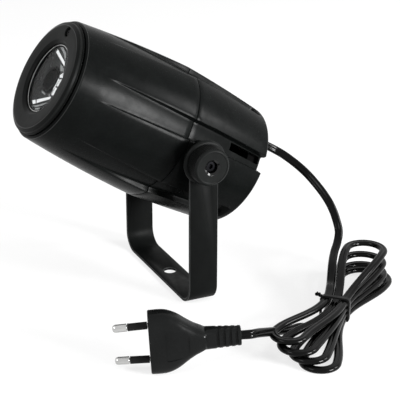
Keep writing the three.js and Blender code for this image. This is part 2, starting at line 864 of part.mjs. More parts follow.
// Two mains wires run from the boot's inner end down to the driver
function makeMainsWires() {
  const start = plateFront + gap + bootCollarLength + gap;
  const landing = driverTop + gap;
  for (const [name, side, material] of [
    ["mains_wire_live", 1, wireBrown],
    ["mains_wire_neutral", -1, wireBlue],
  ]) {
    const aside = side * (wireRadius + gap);
    const points = [
      [aside, bootHeight, start],
      [aside, bootHeight, start + bootCollarLength],
      [aside, bootHeight - bootCollarRadius / 2, start + bootCollarRadius],
      [aside, bootHeight / 2, start + (bootCollarRadius * 5) / 4],
      [aside, landing + bootCollarLength, start + bootCollarRadius],
      [aside, landing, start + bootCollarRadius],
    ].map((point) => new THREE.Vector3(...point));
    addPiece(head, name, tube(points, wireRadius, 8, 16), material);
  }
}

function makePivot(name, side) {
  const insertBore = studRadius + insertClearance;
  const insert = ring(insertBore, insertRadius, insertInnerReach, insertInnerReach + insertLength, 24);
  addPiece(head, `pivot_insert_${name}`, alongPivot(insert, side), brassMetal);
  const washer = ring(studRadius + gap, bossRadius, washerInner, washerInner + washerThickness, 32);
  addPiece(head, `friction_washer_${name}`, alongPivot(washer, side), rubberBlack);
  const stud = disc(studRadius, studInnerReach, knobRecessFloor + gap, 24);
  addPiece(head, `pivot_stud_${name}`, alongPivot(stud, side), steelMetal);
  const outline = new THREE.Shape();
  for (let k = 0; k < 2 * knobRibs; k += 1) {
    const turn = (Math.PI * k) / knobRibs;
    const reach = knobRadius - (k % 2) * knobRibDepth;
    const x = reach * Math.cos(turn);
    const y = reach * Math.sin(turn);
    if (k === 0) {
      outline.moveTo(x, y);
    } else {
      outline.lineTo(x, y);
    }
  }
  outline.closePath();
  const grip = new THREE.ExtrudeGeometry(outline, { depth: knobLength, steps: 1, bevelEnabled: false });
  grip.translate(0, 0, knobInner + knobFlangeThickness);
  const rounded = turned([
    [0, knobInner + knobFlangeThickness / 2],
    [knobRadius, knobInner + knobFlangeThickness / 2],
    [knobRadius, knobFace - knobEdge],
    [knobRadius - knobEdge, knobFace],
    [0, knobFace],
  ]);
  const flange = turned(
    [
      [0, knobInner],
      [knobFlangeRadius, knobInner],
      [knobFlangeRadius, knobInner + knobFlangeThickness / 2],
      [knobFlangeRadius - knobEdge, knobInner + knobFlangeThickness],
      [0, knobInner + knobFlangeThickness],
    ],
    40,
  );
  const bore = disc(studRadius + gap, knobInner - overrun, knobFace - overrun, 24);
  const recess = disc(knobRecessRadius, knobRecessFloor, knobFace + overrun, 24);
  const solid = solidOf(grip)
    .intersect(solidOf(rounded))
    .add(solidOf(flange))
    .subtract(solidOf(bore))
    .subtract(solidOf(recess));
  addPiece(head, `knob_${name}`, alongPivot(geometryOf(solid), side), matteBlack);
}

// The bracket's outline in X and Z: legs, round bends and base
function makeBracket() {
  const legTop = pivotHeight + strapWidth / 2;
  const innerBend = bendRadius - strapThickness;
  const outline = new THREE.Shape();
  outline.moveTo(-bracketHalfSpan, legTop);
  outline.lineTo(-bracketHalfSpan, bendRadius);
  outline.absarc(-bracketHalfSpan + bendRadius, bendRadius, bendRadius, Math.PI, (3 * Math.PI) / 2, false);
  outline.lineTo(bracketHalfSpan - bendRadius, 0);
  outline.absarc(bracketHalfSpan - bendRadius, bendRadius, bendRadius, -Math.PI / 2, 0, false);
  outline.lineTo(bracketHalfSpan, legTop);
  outline.lineTo(legInner, legTop);
  outline.lineTo(legInner, bendRadius);
  outline.absarc(bracketHalfSpan - bendRadius, bendRadius, innerBend, 0, -Math.PI / 2, true);
  outline.lineTo(-bracketHalfSpan + bendRadius, strapThickness);
  outline.absarc(-bracketHalfSpan + bendRadius, bendRadius, innerBend, (3 * Math.PI) / 2, Math.PI, true);
  outline.lineTo(-legInner, legTop);
  outline.closePath();
  const bends = { depth: strapWidth, steps: 1, curveSegments: 6, bevelEnabled: false };
  const strap = new THREE.ExtrudeGeometry(outline, bends);
  strap.rotateX(Math.PI / 2).translate(0, strapWidth / 2, 0);
  const side = new THREE.Shape();
  side.moveTo(-strapWidth / 2, -overrun);
  side.lineTo(strapWidth / 2, -overrun);
  side.lineTo(strapWidth / 2, pivotHeight);
  side.absarc(0, pivotHeight, strapWidth / 2, 0, Math.PI, false);
  side.closePath();
  const across = bracketSpan + 2 * overrun;
  const ends = { depth: across, steps: 1, curveSegments: 14, bevelEnabled: false };
  const rounding = new THREE.ExtrudeGeometry(side, ends);
  rounding.rotateX(Math.PI / 2).rotateZ(Math.PI / 2).translate(-across / 2, 0, 0);
  const pivotBore = disc(studRadius + gap, -across / 2, across / 2, 24);
  pivotBore.rotateY(Math.PI / 2).translate(0, 0, pivotHeight);
  const baseBore = disc(baseHoleRadius, -overrun, strapThickness + overrun, 32);
  const bare = solidOf(strap).intersect(solidOf(rounding));
  const solid = bare.subtract(solidOf(pivotBore)).subtract(solidOf(baseBore));
  addPiece(light, "bracket", geometryOf(solid), strapBlack);
}

// Height of the hank's line at a layer, which may lie between two layers during a climb
function heightAt(heights, layer) {
  const below = Math.min(Math.floor(layer), hankLoops - 2);
  return heights[below] + (heights[below + 1] - heights[below]) * (layer - below);
}

// Centreline of the hank in its own frame: +X towards the near end, each climb along the low run
function hankLocal(turns) {
  const whole = Math.floor(turns);
  const nearest = Math.round(turns);
  const [farLow, farHigh, farReach, farTurn] = farBends[Math.max(whole, 0)];
  const [nearLow, , nearReach, nearTurn] = nearBends[Math.min(whole + 1, hankLoops)];
  const nearHigh = nearBends[THREE.MathUtils.clamp(whole + 1, 1, hankLoops)][1];
  const farRadius = (farHigh - farLow) / 2;
  const nearRadius = (nearHigh - nearLow) / 2;
  let left = (turns - whole) * loopSteps;
  let stretch = 0;
  while (stretch < stretchSteps.length - 1 && left > stretchSteps[stretch]) {
    left -= stretchSteps[stretch];
    stretch += 1;
  }
  const share = left / stretchSteps[stretch];
  const ends = [
    [0, -farReach],
    [-farReach, -farReach],
    [-farReach, nearReach],
    [nearReach, nearReach],
    [nearReach, 0],
  ][stretch];
  let x = ends[0] + (ends[1] - ends[0]) * share;
  const isFar = x < 0;
  const reach = isFar ? farReach : nearReach;
  const drawn = (1 + Math.cos((Math.PI * x) / reach)) / 2;
  const [sideLow, sideHigh] = isFar ? [farLow, farHigh] : [nearLow, nearHigh];
  const onLowRun = stretch === 0 || stretch === 4;
  const waistLow = nearest <= 0 || nearest >= hankLoops ? waistOuter : waistInner;
  let y = onLowRun ? sideLow + (waistLow - sideLow) * drawn : sideHigh + (waistFar - sideHigh) * drawn;
  const rise = onLowRun ? THREE.MathUtils.clamp((1 - x / climbReach) / 2, 0, 1) : 0;
  if (stretch === 1) {
    x = -farReach - farRadius * Math.sin(Math.PI * share);
    y = (farLow + farHigh) / 2 - farRadius * Math.cos(Math.PI * share);
  } else if (stretch === 3) {
    x = nearReach + nearRadius * Math.sin(Math.PI * share);
    y = (nearLow + nearHigh) / 2 + nearRadius * Math.cos(Math.PI * share);
  }
  const climbing = onLowRun ? nearest - 1 + rise * rise * (3 - 2 * rise) : whole;
  const layer = THREE.MathUtils.clamp(climbing, 0, hankLoops - 1);
  const endHeight = heightAt(isFar ? farHeights : nearHeights, layer);
  const z = endHeight + (heightAt(waistHeights, layer) - endHeight) * drawn;
  const fanned = Math.abs(x) < reach ? 1 - drawn : 1;
  const turn = THREE.MathUtils.degToRad(isFar ? farTurn : nearTurn) * fanned;
  return new THREE.Vector3(x, y, z).applyAxisAngle(new THREE.Vector3(0, 0, 1), turn);
}

function hankPoint(turns) {
  const local = hankLocal(turns);
  local.applyAxisAngle(new THREE.Vector3(0, 0, 1), THREE.MathUtils.degToRad(hankTurnDegrees));
  return local.add(new THREE.Vector3(hankX, hankY, 0));
}

// The hank's rings, with a straight run of one cord width at each end
function hankCentres() {
  const centres = [];
  const from = -hankEndSteps / loopSteps;
  const to = hankLoops + hankEndSteps / loopSteps;
  const steps = Math.round((to - from) * loopSteps);
  for (let i = 0; i <= steps; i += 1) {
    centres.push(hankPoint(from + ((to - from) * i) / steps));
  }
  const startWay = hankPoint(from).sub(hankPoint(from + glanceTurns)).setZ(0).normalize();
  const endWay = hankPoint(to).sub(hankPoint(to - glanceTurns)).setZ(0).normalize();
  centres.unshift(centres[0].clone().addScaledVector(startWay, cordWidth));
  centres.push(centres[centres.length - 1].clone().addScaledVector(endWay, cordWidth));
  return centres;
}

// The flat cord lies flat in the hank: six sides, wide and low
function hankRings(centres) {
  const up = new THREE.Vector3(0, 0, 1);
  const halfWide = cordWidth / 2;
  const halfTall = cordThickness / 2;
  const section = [
    [halfWide, 0],
    [halfWide / 2, halfTall],
    [-halfWide / 2, halfTall],
    [-halfWide, 0],
    [-halfWide / 2, -halfTall],
    [halfWide / 2, -halfTall],
  ];
  return centres.map((centre, i) => {
    const before = centres[Math.max(i - 1, 0)];
    const after = centres[Math.min(i + 1, centres.length - 1)];
    const way = after.clone().sub(before).setZ(0).normalize();
    const side = new THREE.Vector3().crossVectors(way, up);
    const place = ([wide, tall]) => centre.clone().addScaledVector(side, wide).addScaledVector(up, tall);
    return section.map(place);
  });
}

// Least gap from the hank to itself, measured between its surfaces on points along the line
function leastGap(centres) {
  const fine = [];
  const perSpan = 6;
  for (let i = 0; i < centres.length - 1; i += 1) {
    for (let k = 0; k < perSpan; k += 1) {
      fine.push(centres[i].clone().lerp(centres[i + 1], k / perSpan));
    }
  }
  const along = [0];
  for (let i = 1; i < fine.length; i += 1) {
    along.push(along[i - 1] + fine[i].distanceTo(fine[i - 1]));
  }
  let least = Infinity;
  for (let i = 0; i < fine.length; i += 1) {
    for (let j = i + 1; j < fine.length; j += 1) {
      if (along[j] - along[i] > 4 * cordWidth) {
        const level = Math.hypot(fine[i].x - fine[j].x, fine[i].y - fine[j].y);
        const rise = Math.abs(fine[i].z - fine[j].z);
        least = Math.min(least, Math.max(level - cordWidth, rise - cordThickness));
      }
    }
  }
  return { least, length: along[along.length - 1] };
}

function lengthOf(points) {
  return new THREE.CatmullRomCurve3(points, false, "centripetal").getLength();
}

function makeCord() {
  const centres = hankCentres();
  const { least, length } = leastGap(centres);
  addCordPiece("cord_hank", lofted(hankRings(centres), false), cordBlack);

  const last = centres.length - 1;
  const hankOut = centres[last].clone().sub(centres[last - 1]).normalize();
  const hankIn = centres[0].clone().sub(centres[1]).normalize();
  head.updateMatrixWorld(true);
  const bootTip = new THREE.Vector3(0, bootHeight, leadStart).applyMatrix4(head.matrixWorld);
  const bootWay = new THREE.Vector3(0, 0, -1).transformDirection(head.matrixWorld);
  const leadPoints = [
    bootTip,
    bootTip.clone().addScaledVector(bootWay, cordWidth),
    ...leadRoute.map((point) => new THREE.Vector3(...point)),
    centres[last].clone().addScaledVector(hankOut, cordWidth + gap),
    centres[last].clone().addScaledVector(hankOut, gap),
  ];
  addCordPiece("power_cord_lead", tube(leadPoints, cordRadius, 8, 22), cordBlack);

  const plugEnd = -(plugBodyLength + plugReliefLength + gap);
  const reliefEnd = placePlug(new THREE.BufferGeometry().setFromPoints([new THREE.Vector3(plugEnd, 0, 0)]));
  const beyondRelief = new THREE.Vector3(plugEnd - cordWidth, 0, 0);
  const pastRelief = placePlug(new THREE.BufferGeometry().setFromPoints([beyondRelief]));
  const tailPoints = [
    new THREE.Vector3().fromBufferAttribute(reliefEnd.getAttribute("position"), 0),
    new THREE.Vector3().fromBufferAttribute(pastRelief.getAttribute("position"), 0),
    ...tailRoute.map((point) => new THREE.Vector3(...point)),
    centres[0].clone().addScaledVector(hankIn, cordWidth + gap),
    centres[0].clone().addScaledVector(hankIn, gap),
  ];
  addCordPiece("power_cord_tail", tube(tailPoints, cordRadius, 8, 12), cordBlack);
  const whole = length + lengthOf(leadPoints) + lengthOf(tailPoints);
  console.log(`hank's least gap to itself ${least.toFixed(2)} mm, cord ${whole.toFixed(0)} mm long`);
}

// A band round the waist of the hank, with its twisted end standing out beside it at the top
function makeTie() {
  const bundleLow = waistOuter - cordWidth / 2 - 2 * gap;
  const bundleHigh = waistFar + cordWidth / 2 + 2 * gap;
  const low = plugLift;
  const high = waistHeights[hankLoops - 1] + cordThickness / 2 + gap + tieThickness;
  const outerHalf = (bundleHigh - bundleLow) / 2 + tieThickness;
  const height = high - low;
  const middle = (high + low) / 2;
  const aside = (bundleHigh + bundleLow) / 2;
  const innerWidth = 2 * (outerHalf - tieThickness);
  const tailAside = aside - outerHalf - (tieTailLength - tieThickness) / 2;
  const outer = box(tieWidth, 2 * outerHalf, height, 0, aside, middle);
  const inner = box(tieWidth + overrun, innerWidth, height - 2 * tieThickness, 0, aside, middle);
  const tail = box(tieTailWidth, tieTailLength, tieTailThickness, 0, tailAside, high - tieTailThickness / 2);
  const solid = solidOf(outer).add(solidOf(tail)).subtract(solidOf(inner));
  const geometry = geometryOf(solid)
    .rotateZ(THREE.MathUtils.degToRad(hankTurnDegrees))
    .translate(hankX, hankY, 0);
  addCordPiece("cord_tie", geometry, rubberBlack);
}

// Rounded section of the plug across its axis, squarer towards the face
function plugRing(along, halfHeight, halfThickness, squareness) {
  const points = [];
  const sides = 16;
  for (let k = 0; k < sides; k += 1) {
    const turn = (2 * Math.PI * (k + 0.5)) / sides;
    const c = Math.cos(turn);
    const s = Math.sin(turn);
    const reach = (Math.abs(c) ** squareness + Math.abs(s) ** squareness) ** (-1 / squareness);
    points.push(new THREE.Vector3(-along, halfThickness * c * reach, halfHeight * s * reach));
  }
  return points;
}

function plugBodyRings() {
  const rings = [];
  const heightShares = [0.97, 1, 1, 0.95, 0.82, 0.63, 0.47, 0.37, 0.31];
  const alongShares = [0, 0.04, 0.25, 0.38, 0.53, 0.68, 0.82, 0.94, 1];
  heightShares.forEach((share, k) => {
    const along = alongShares[k] * plugBodyLength;
    const slim = Math.min(1, Math.max(0, (alongShares[k] - 0.3) / 0.7));
    const edge = k === 0 ? 0.94 : 1;
    const thickness = plugHalfThickness * edge + (plugNeckRadius - plugHalfThickness) * slim * slim;
    rings.push(plugRing(along, plugHalfHeight * share, thickness, 3.4 - 0.4 * slim));
  });
  const plainEnd = plugBodyLength + plugReliefPlain;
  const tip = plugBodyLength + plugReliefLength;
  const pitch = (tip - plainEnd) / plugReliefRibs;
  const reliefRing = (along, depth) => {
    const share = (along - plugBodyLength) / plugReliefLength;
    const radius = plugReliefRadius + (plugReliefTip - plugReliefRadius) * share;
    rings.push(plugRing(along, radius, radius * plugReliefFlatness - depth, 3));
  };
  reliefRing(plugBodyLength + plugReliefGroove, 0);
  for (let k = 0; k < plugReliefRibs; k += 1) {
    const from = plainEnd + k * pitch;
    for (const [share, depth] of [[0, 0], [0.1, plugReliefGroove], [0.4, plugReliefGroove], [0.5, 0]]) {
      reliefRing(from + share * pitch, depth);
    }
  }
  reliefRing(tip, 0);
  return rings;
}

// The plug stands on its narrow edge, with its rear end lifted a little by the cord
function placePlug(geometry) {
  const pitch = THREE.MathUtils.degToRad(plugPitchDegrees);
  return geometry
    .rotateY(pitch)
    .rotateZ(THREE.MathUtils.degToRad(plugTurnDegrees))
    .translate(plugX, plugY, plugHalfHeight * Math.cos(pitch) + plugLift);
}

function makePlug() {
  let body = solidOf(lofted(plugBodyRings(), false));
  const coreLength = pinRoot + pinSleeveLength;
  for (const [name, side] of [["upper", 1], ["lower", -1]]) {
    const seat = (geometry) =>
      geometry
        .rotateY(Math.PI / 2)
        .rotateY(THREE.MathUtils.degToRad(side * pinLeanDegrees))
        .translate(0, 0, (side * pinPitch) / 2);
    const socket = disc(pinCoreRadius + gap, -pinRoot - gap, overrun, 16);
    body = body.subtract(solidOf(seat(socket)));
    const sleeve = ring(pinCoreRadius + gap, pinSleeveRadius, gap, pinSleeveLength, 16);
    addCordPiece(`plug_sleeve_${name}`, placePlug(seat(sleeve)), rubberBlack);
    const pin = turned(
      [
        [0, pinSleeveLength - coreLength],
        [pinCoreRadius, pinSleeveLength - coreLength],
        [pinCoreRadius, pinSleeveLength + gap],
        [pinRadius, pinSleeveLength + gap],
        [pinRadius, pinLength - pinRadius / 2],
        [(pinRadius * 3) / 4, pinLength - pinRadius / 8],
        [0, pinLength],
      ],
      16,
    );
    addCordPiece(`plug_pin_${name}`, placePlug(seat(pin)), steelMetal);
  }
  addCordPiece("plug_body", placePlug(geometryOf(body)), rubberBlack);
}

makeBracket();
makeFrontShell();
makeRearShell();
makeRearPlate();
makeBoot();
makeFrontRing();
makeOptics();
makeHeatSink();
makeDriver();
makeLedLead();
makeMainsWires();
makePivot("right", 1);
makePivot("left", -1);
makeCord();
makeTie();
makePlug();

// The origin is the middle of the lamp's footprint: its box without the cord, the plug and the boot
light.updateMatrixWorld(true);
const lampBox = new THREE.Box3();
light.traverse((piece) => {
  if (piece.isMesh && piece.name !== "cord_boot" && !cordMeshes.includes(piece)) {
    lampBox.expandByObject(piece, true);
  }
});
const footprint = lampBox.getCenter(new THREE.Vector3());
light.position.set(-footprint.x, -footprint.y, -lampBox.min.z);
console.log(`bracket's middle at y ${light.position.y.toFixed(4)} mm`);

export default light;
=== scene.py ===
import math

import bmesh
import bpy
from mathutils import Matrix, Vector


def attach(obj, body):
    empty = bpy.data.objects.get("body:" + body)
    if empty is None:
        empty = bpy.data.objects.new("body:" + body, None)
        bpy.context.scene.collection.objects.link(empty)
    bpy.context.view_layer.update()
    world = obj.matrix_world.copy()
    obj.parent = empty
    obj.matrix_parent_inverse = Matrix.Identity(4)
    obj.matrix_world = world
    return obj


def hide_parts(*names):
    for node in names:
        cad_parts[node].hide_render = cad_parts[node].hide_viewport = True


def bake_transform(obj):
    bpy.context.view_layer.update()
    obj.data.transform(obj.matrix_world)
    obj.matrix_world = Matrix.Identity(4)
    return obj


bl_info = {
    "name": "Pinspot Light",
    "version": (1, 0, 0),
    "blender": (4, 5, 0),
    "location": "View3D > Sidebar > Pinspot",
    "description": "Builds the looks of a pinspot light round its packed frame",
    "category": "Object",
}

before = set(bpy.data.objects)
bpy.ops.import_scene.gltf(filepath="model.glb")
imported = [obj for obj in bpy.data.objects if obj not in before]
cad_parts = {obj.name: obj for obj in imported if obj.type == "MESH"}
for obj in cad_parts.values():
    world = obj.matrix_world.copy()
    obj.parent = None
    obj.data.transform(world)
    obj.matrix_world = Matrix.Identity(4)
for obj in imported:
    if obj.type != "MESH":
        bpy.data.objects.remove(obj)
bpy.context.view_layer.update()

MM = 0.001
SHARP_ANGLE = 34
NOISE_SPAN = (0.3, 0.7)

# Lengths are in millimetres and angles in degrees, unless a comment says otherwise

# Pivot of the housing, its tilt at rest, and the play between pieces
PIVOT = (0.0, 15.5928, 82.9)
TILT = 31.4
GAP = 0.3

# Housing; heights are measured along its axis from the pivot. FRONT_RIM_STEPS lists shares of the rounding and of
# the drop in radius. CHANNEL_SIDES lists height and half width in degrees on the low and the high side of a channel,
# and CHANNEL_WALL how many degrees a point lies beyond the channel's edge and its share of the depth.
BELLY_RADIUS = 38.2
SEAM = 9.3
FRONT_RIM_RADIUS = 33.2
FRONT_RIM = 76.2
FRONT_RIM_ROUND = 2.2
FRONT_RIM_DROP = 1.1
FRONT_RIM_STEPS = (
    (1, 1), (0.98, 0.85), (0.94, 0.72), (0.6, 0.22), (0.54, 0.15), (0.47, 0.1), (0.1, 0.03), (-0.03, 0),
)
# Shares of the rim's rounding between which a lighter, glossier line paints a highlight on its edge
FRONT_RIM_HIGHLIGHT = (0.46, 0.62)
FRONT_CROWN = 0.75
REAR_RADIUS = 34.3
REAR_END = -43.5
REAR_CROWN = 0.45
REAR_ROUND = 2.4
CHANNELS = 6
CHANNEL_PHASE = 17.5
CHANNEL_START = 64.0
CHANNEL_SEAM_DEPTH = 2.6
CHANNEL_REAR_DEPTH = 3.4
CHANNEL_SIDES = ((64.0, 11.0, 11.0), (9.3, 8.4, 9.2), (-6.0, 7.0, 9.8), (-43.5, 6.6, 9.8))
CHANNEL_WALL = ((0.35, 0.0), (0.1, 0.04), (-0.15, 0.2), (-0.6, 0.55), (-1.05, 0.88), (-1.25, 0.97), (-1.5, 1.0))
FLOOR_POINTS = 8
PANEL_POINTS = 15
CHANNEL_CLOSE = -36.5
CHANNEL_CLOSE_LENGTH = 3.0
OPEN_CHANNELS = (0, 3)
FRONT_BORE = 30.5
REAR_BORE = 28.5
SPIGOT_SEAT = 71.9
SPIGOT_BORE = 29.2
LEDGE = (50.0, 56.0)
LEDGE_BORE = 24.0
TONGUE_LENGTH = 6.0
TONGUE_WALL = 1.8
TONGUE_ROOT = 4.5
WALL_CUT = (26, 42)
WINDOW = (-40.0, -18.4)
WINDOW_WIDTH = 4.4
WINDOW_OFFSET = 3.6
NOTCH_WIDTH = 9.4
NOTCH_DEPTH = 2.4
NOTCH_ROUND = 2.2
NOTCH_OFFSET = 0.8
BOSS_RADIUS = 8.4
BOSS_REACH = (26.0, 41.9)
STUD_BORE_REACH = (24, 44)
POCKET_RADIUS = 4.3
POCKET_REACH = (24, 38.3)
PLATE = (-37.0, -34.5)
PLATE_SCREW_CIRCLE = 24.6
PLATE_SCREW_PHASE = 47.5
PLATE_SCREW_ROLLS = tuple(PLATE_SCREW_PHASE + 120 * k for k in range(3))
PLATE_SCREW_HOLE = 1.7
PLATE_BOOT_HOLE = 4.6
PLATE_GROOVE = (19.4, 20.6, -38, -36.6)
LIP_WALL = 1.2
LIP_ENDS = (-41.0, -36.5)
# How far in from the plate's edge the lip is painted near black, a painted shade seen through the windows
LIP_SHADE = 1.3
POST_RADIUS = 3.4
POST_LENGTH = 18.0

# Boot that the lead leaves through; it widens evenly from its tip over the taper's length
BOOT_ASIDE = 19.0
BOOT_TIP = -57.0
BOOT_TIP_RADIUS = 3.3
BOOT_WIDENING = 1.3
BOOT_TAPER = 16.5
BOOT_GROOVES = (-54.6, -51.4, -48.2, -45.0)
BOOT_GROOVE_DEPTH = 0.55

# Front ring and what it holds; a profile lists radius, height and rounding for each corner
RING_FACE = 82.0
RING_BACK = RING_FACE - 2.8
RING_SCREW_TOP = RING_FACE - 0.7
RING_SCREW_HEAD = 1.2
# Radii between which the ring's front edge takes the lighter finish, a painted highlight
RING_HIGHLIGHT = (28.7, 29.05)
LENS = (78.5, 79.6)
LENS_RADIUS = 20.6
OPENING_RADIUS = 19.1
RING_PROFILE = (
    (OPENING_RADIUS, 79.9, 0.15), (20.9, 79.9, 0), (20.9, RING_BACK, 0), (27, RING_BACK, 0), (27, RING_BACK - 3, 0.3),
    (28.9, RING_BACK - 3, 0.3), (28.9, RING_BACK, 0.1), (31.8, RING_BACK, 0.1), (31.8, RING_BACK + 0.2, 0.1),
    (31.0, RING_BACK + 0.3, 0.3), (30.9, RING_FACE - 0.9, 0.3), (28.9, RING_FACE, 0.3), (26.8, RING_FACE, 0.8),
    (21.0, RING_FACE - 0.3, 0.4), (OPENING_RADIUS + 0.5, 80.9, 0.3), (OPENING_RADIUS, 80.4, 0.12),
)
LOCK_SCREW_RADIUS = 25.8
BEAD_OUTLINE = ((18.3, -0.05), (18.75, -0.05), (18.7, 0.15), (18.4, 0.15))

# Reflector; depths are measured back from its rim, just behind the lens
REFLECTOR_RIM = LENS[0] - GAP
REFLECTOR_HOLE = 7.5
REFLECTOR_FOOT = 59.6
REFLECTOR_WALL = 1.3
CUP_OUTLINE = (
    (REFLECTOR_HOLE, 0.95), (8.3, 0.85), (9.0, 0.75), (13.2, 0.5), (13.6, 0.45), (18.2, 0.2), (18.35, 0),
    (LENS_RADIUS, 0), (LENS_RADIUS, 1.2), (OPENING_RADIUS, 1.2),
)
CUP_FLOOR = 0.85
CUP_RISE = 0.65
CUP_SLOPE = (8, 10.4)
TUBE_RADIUS = 7.056
TUBE_WALL = 1.2
TUBE_FOOT = 61.2
TUBE_FRONT = REFLECTOR_RIM - 0.1

# Facets on the reflector's cup, set bright or dull so as to paint its reflection: 1 for bright, a painted highlight,
# or 2 for dull, a painted shade, and the corners across and up from the axis
LIT_FACET, SHADED_FACET = 1, 2
FACET_LAYERS = ((-0.15, 1.0), (0.2, 1.0), (0.28, 0.95))
FACETS = (
    (LIT_FACET, ((-12.0, 13.8), (-9.6, 15.4), (5.8, 11.7), (7.7, 9.7))),
    (SHADED_FACET, ((-7.5, 16.6), (-3.7, 17.5), (2.6, 15.9), (5.7, 13.0), (4.1, 13.0), (0.5, 14.8), (-3.8, 15.9))),
    (SHADED_FACET, ((2.0, 9.4), (7.5, 9.0), (9.7, 7.3), (5.2, 6.4))),
    (LIT_FACET, ((7.2, 4.6), (10.2, 6.8), (12.2, 4.4), (8.6, 3.5))),
    (LIT_FACET, ((7.9, 3.2), (9.3, 2.4), (8.8, -3.0), (7.8, -3.8))),
    (LIT_FACET, ((9.8, 2.8), (12.0, 3.7), (12.1, -0.7), (9.6, -1.0))),
    (SHADED_FACET, ((7.8, -4.2), (8.9, -3.6), (9.1, -5.8), (7.9, -6.2))),
    (LIT_FACET, ((9.3, -1.6), (11.8, -1.4), (12.3, -5.7), (9.5, -6.3))),
    (SHADED_FACET, ((6.2, -6.2), (7.5, -6.6), (8.9, -7.4), (6.7, -7.5))),
    (SHADED_FACET, ((-3.6, -7.5), (2.0, -7.8), (2.3, -8.4), (-2.8, -8.5))),
    (LIT_FACET, ((-7.4, -14.9), (-4.6, -13.5), (-2.0, -14.9), (-4.5, -16.2))),
    (LIT_FACET, ((-3.9, -13.2), (10.2, -6.9), (10.7, -8.3), (-1.4, -14.6))),
    (SHADED_FACET, ((-4.3, -17.0), (2.6, -14.2), (9.6, -10.6), (7.4, -12.9), (1.5, -15.9), (-4.3, -17.8))),
    (SHADED_FACET, ((-0.8, -17.3), (5.6, -15.0), (4.3, -16.6), (1.5, -17.5))),
)

# Clamp knobs, along the pivot
KNOB_INNER = 45.4
KNOB_FACE = 55.7
KNOB_RADIUS = 10.3
KNOB_FLANGE = 12.0
KNOB_BORE = 3.2
KNOB_BORE_END = 51.2
# Radius within which the knob's recess takes a darker, glossier finish: painted shade, and a gloss that catches a lamp
RECESS_SHADE_AND_GLOSS = 4.6
STUD_START = 28.5
STUD_END = 53.0
STUD_RADIUS = 2.9
SOCKET_RADIUS = 1.5
SOCKET_DEPTH = 1.6
WASHER = (42.2, 43.3)

# Bracket
SPAN = 90.2
STRAP_WIDTH = 16.5
STRAP_THICKNESS = 1.5
BEND_RADIUS = 10.5
BASE_HOLE_RADIUS = 3.5

# Route of the cord. The heights are those of the four loops at their waist and at each end. The bends list, for each
# end of a loop, its low and its high side, how far it reaches and how many degrees it swings aside.
CORD_WIDTH = 4.7
CORE_RADIUS = 1.45
CORE_ASIDE = 0.9
HANK_AT = (90.0, 56.0)
HANK_TURN = -45.0
HANK_LOOPS = 4
HANK_STEP = 14.5
STRETCH_STEPS = (4, 5, 6, 5, 4)
CLIMB_REACH = 25.0
WAIST_OUTER = -5.0
WAIST_INNER = -0.2
WAIST_FAR = 4.6
WAIST_HEIGHTS = (1.7, 4.8, 7.9, 11.0)
NEAR_HEIGHTS = (1.55, 4.75, 7.95, 11.15)
FAR_HEIGHTS = (1.8, 5.7, 12.2, 19.2)
NEAR_BENDS = (
    (-22, 8.5, 46, 0),
    (-7.5, 9.5, 50.5, 5),
    (-10, 7, 49, 1.5),
    (-11, 6, 49, -4.5),
    (-15, 1, 46, -6.5),
)
FAR_BENDS = (
    (-11, 15.4, 50, -2),
    (-8.8, 14.2, 50, 0),
    (-8.5, 13.5, 50, 0),
    (-7.9, 12.6, 51, -1),
    (-14, 13.5, 50, 0),
)
LEAD_ROUTE = (
    (0.6, 66.4, 64.6),
    (2.6, 69.9, 62.3),
    (5.7, 73.7, 59.2),
    (10, 77.1, 55.9),
    (15.2, 80, 52.2),
    (20.4, 82, 48.6),
    (25.4, 83.6, 45),
    (30, 85, 41),
    (33.6, 86.2, 36.4),
    (37, 86.8, 31.2),
    (41, 86.2, 26.2),
    (45.6, 82.8, 22.2),
    (52, 77.1, 19.6),
    (60.8, 70.8, 17.4),
)
TAIL_ROUTE = (
    (115.6, -3.4, 17.2),
    (111.2, 3.4, 14),
    (106.2, 11.2, 10.4),
    (101.4, 18.9, 6.9),
    (97.4, 26.2, 4.3),
    (95.2, 32.6, 3.3),
)

# Plug, standing on its narrow edge; PLUG_ALONG and PLUG_HEIGHTS are shares of its length and of its half height
PLUG_XY = (100.56, -55.5)
PLUG_TURN = -111.5
PLUG_PITCH = 3.3
PLUG_LIFT = 0.05
PLUG_HALF_HEIGHT = 16.4
PLUG_HALF_THICKNESS = 6.9
PLUG_BODY_LENGTH = 27.2
PLUG_NECK = 5.8
PLUG_EDGE = 0.7
PLUG_SQUARENESS = 3.4
PLUG_ALONG = (0, 0.04, 0.25, 0.38, 0.53, 0.68, 0.82, 0.94, 1)
PLUG_HEIGHTS = (1, 1, 1, 0.95, 0.82, 0.63, 0.47, 0.37, 0.31)
PANEL_OUTLINE = ((-19.5, -6.5), (-8, -8.5), (-8, 8.5), (-19.5, 6.5))
PANEL_FLOOR = 6.25
RELIEF_LENGTH = 17.8
RELIEF_ROOT = 5.5
RELIEF_TIP = 4.7
RELIEF_FLATNESS = 0.85
RELIEF_EDGE = 0.35
RELIEF_PLAIN = 5.5
RELIEF_SLOTS = 4
PIN_PITCH = 18.6
PIN_LEAN = 1.6
PIN_RADIUS = 2.0
PIN_LENGTH = 17.4
PIN_CORE = 1.2
PIN_ROOT = -3
SLEEVE_RADIUS = 1.9
SLEEVE_LENGTH = 10.0

# Tie round the waist of the loops
TIE_WIDTH = 2.6
TIE_THICKNESS = 0.9
TIE_PLAY = 0.1
TIE_TAIL = 3.5
TIE_POINTS = 90
TWIST_STEPS = 30
TWIST_TURN = 430

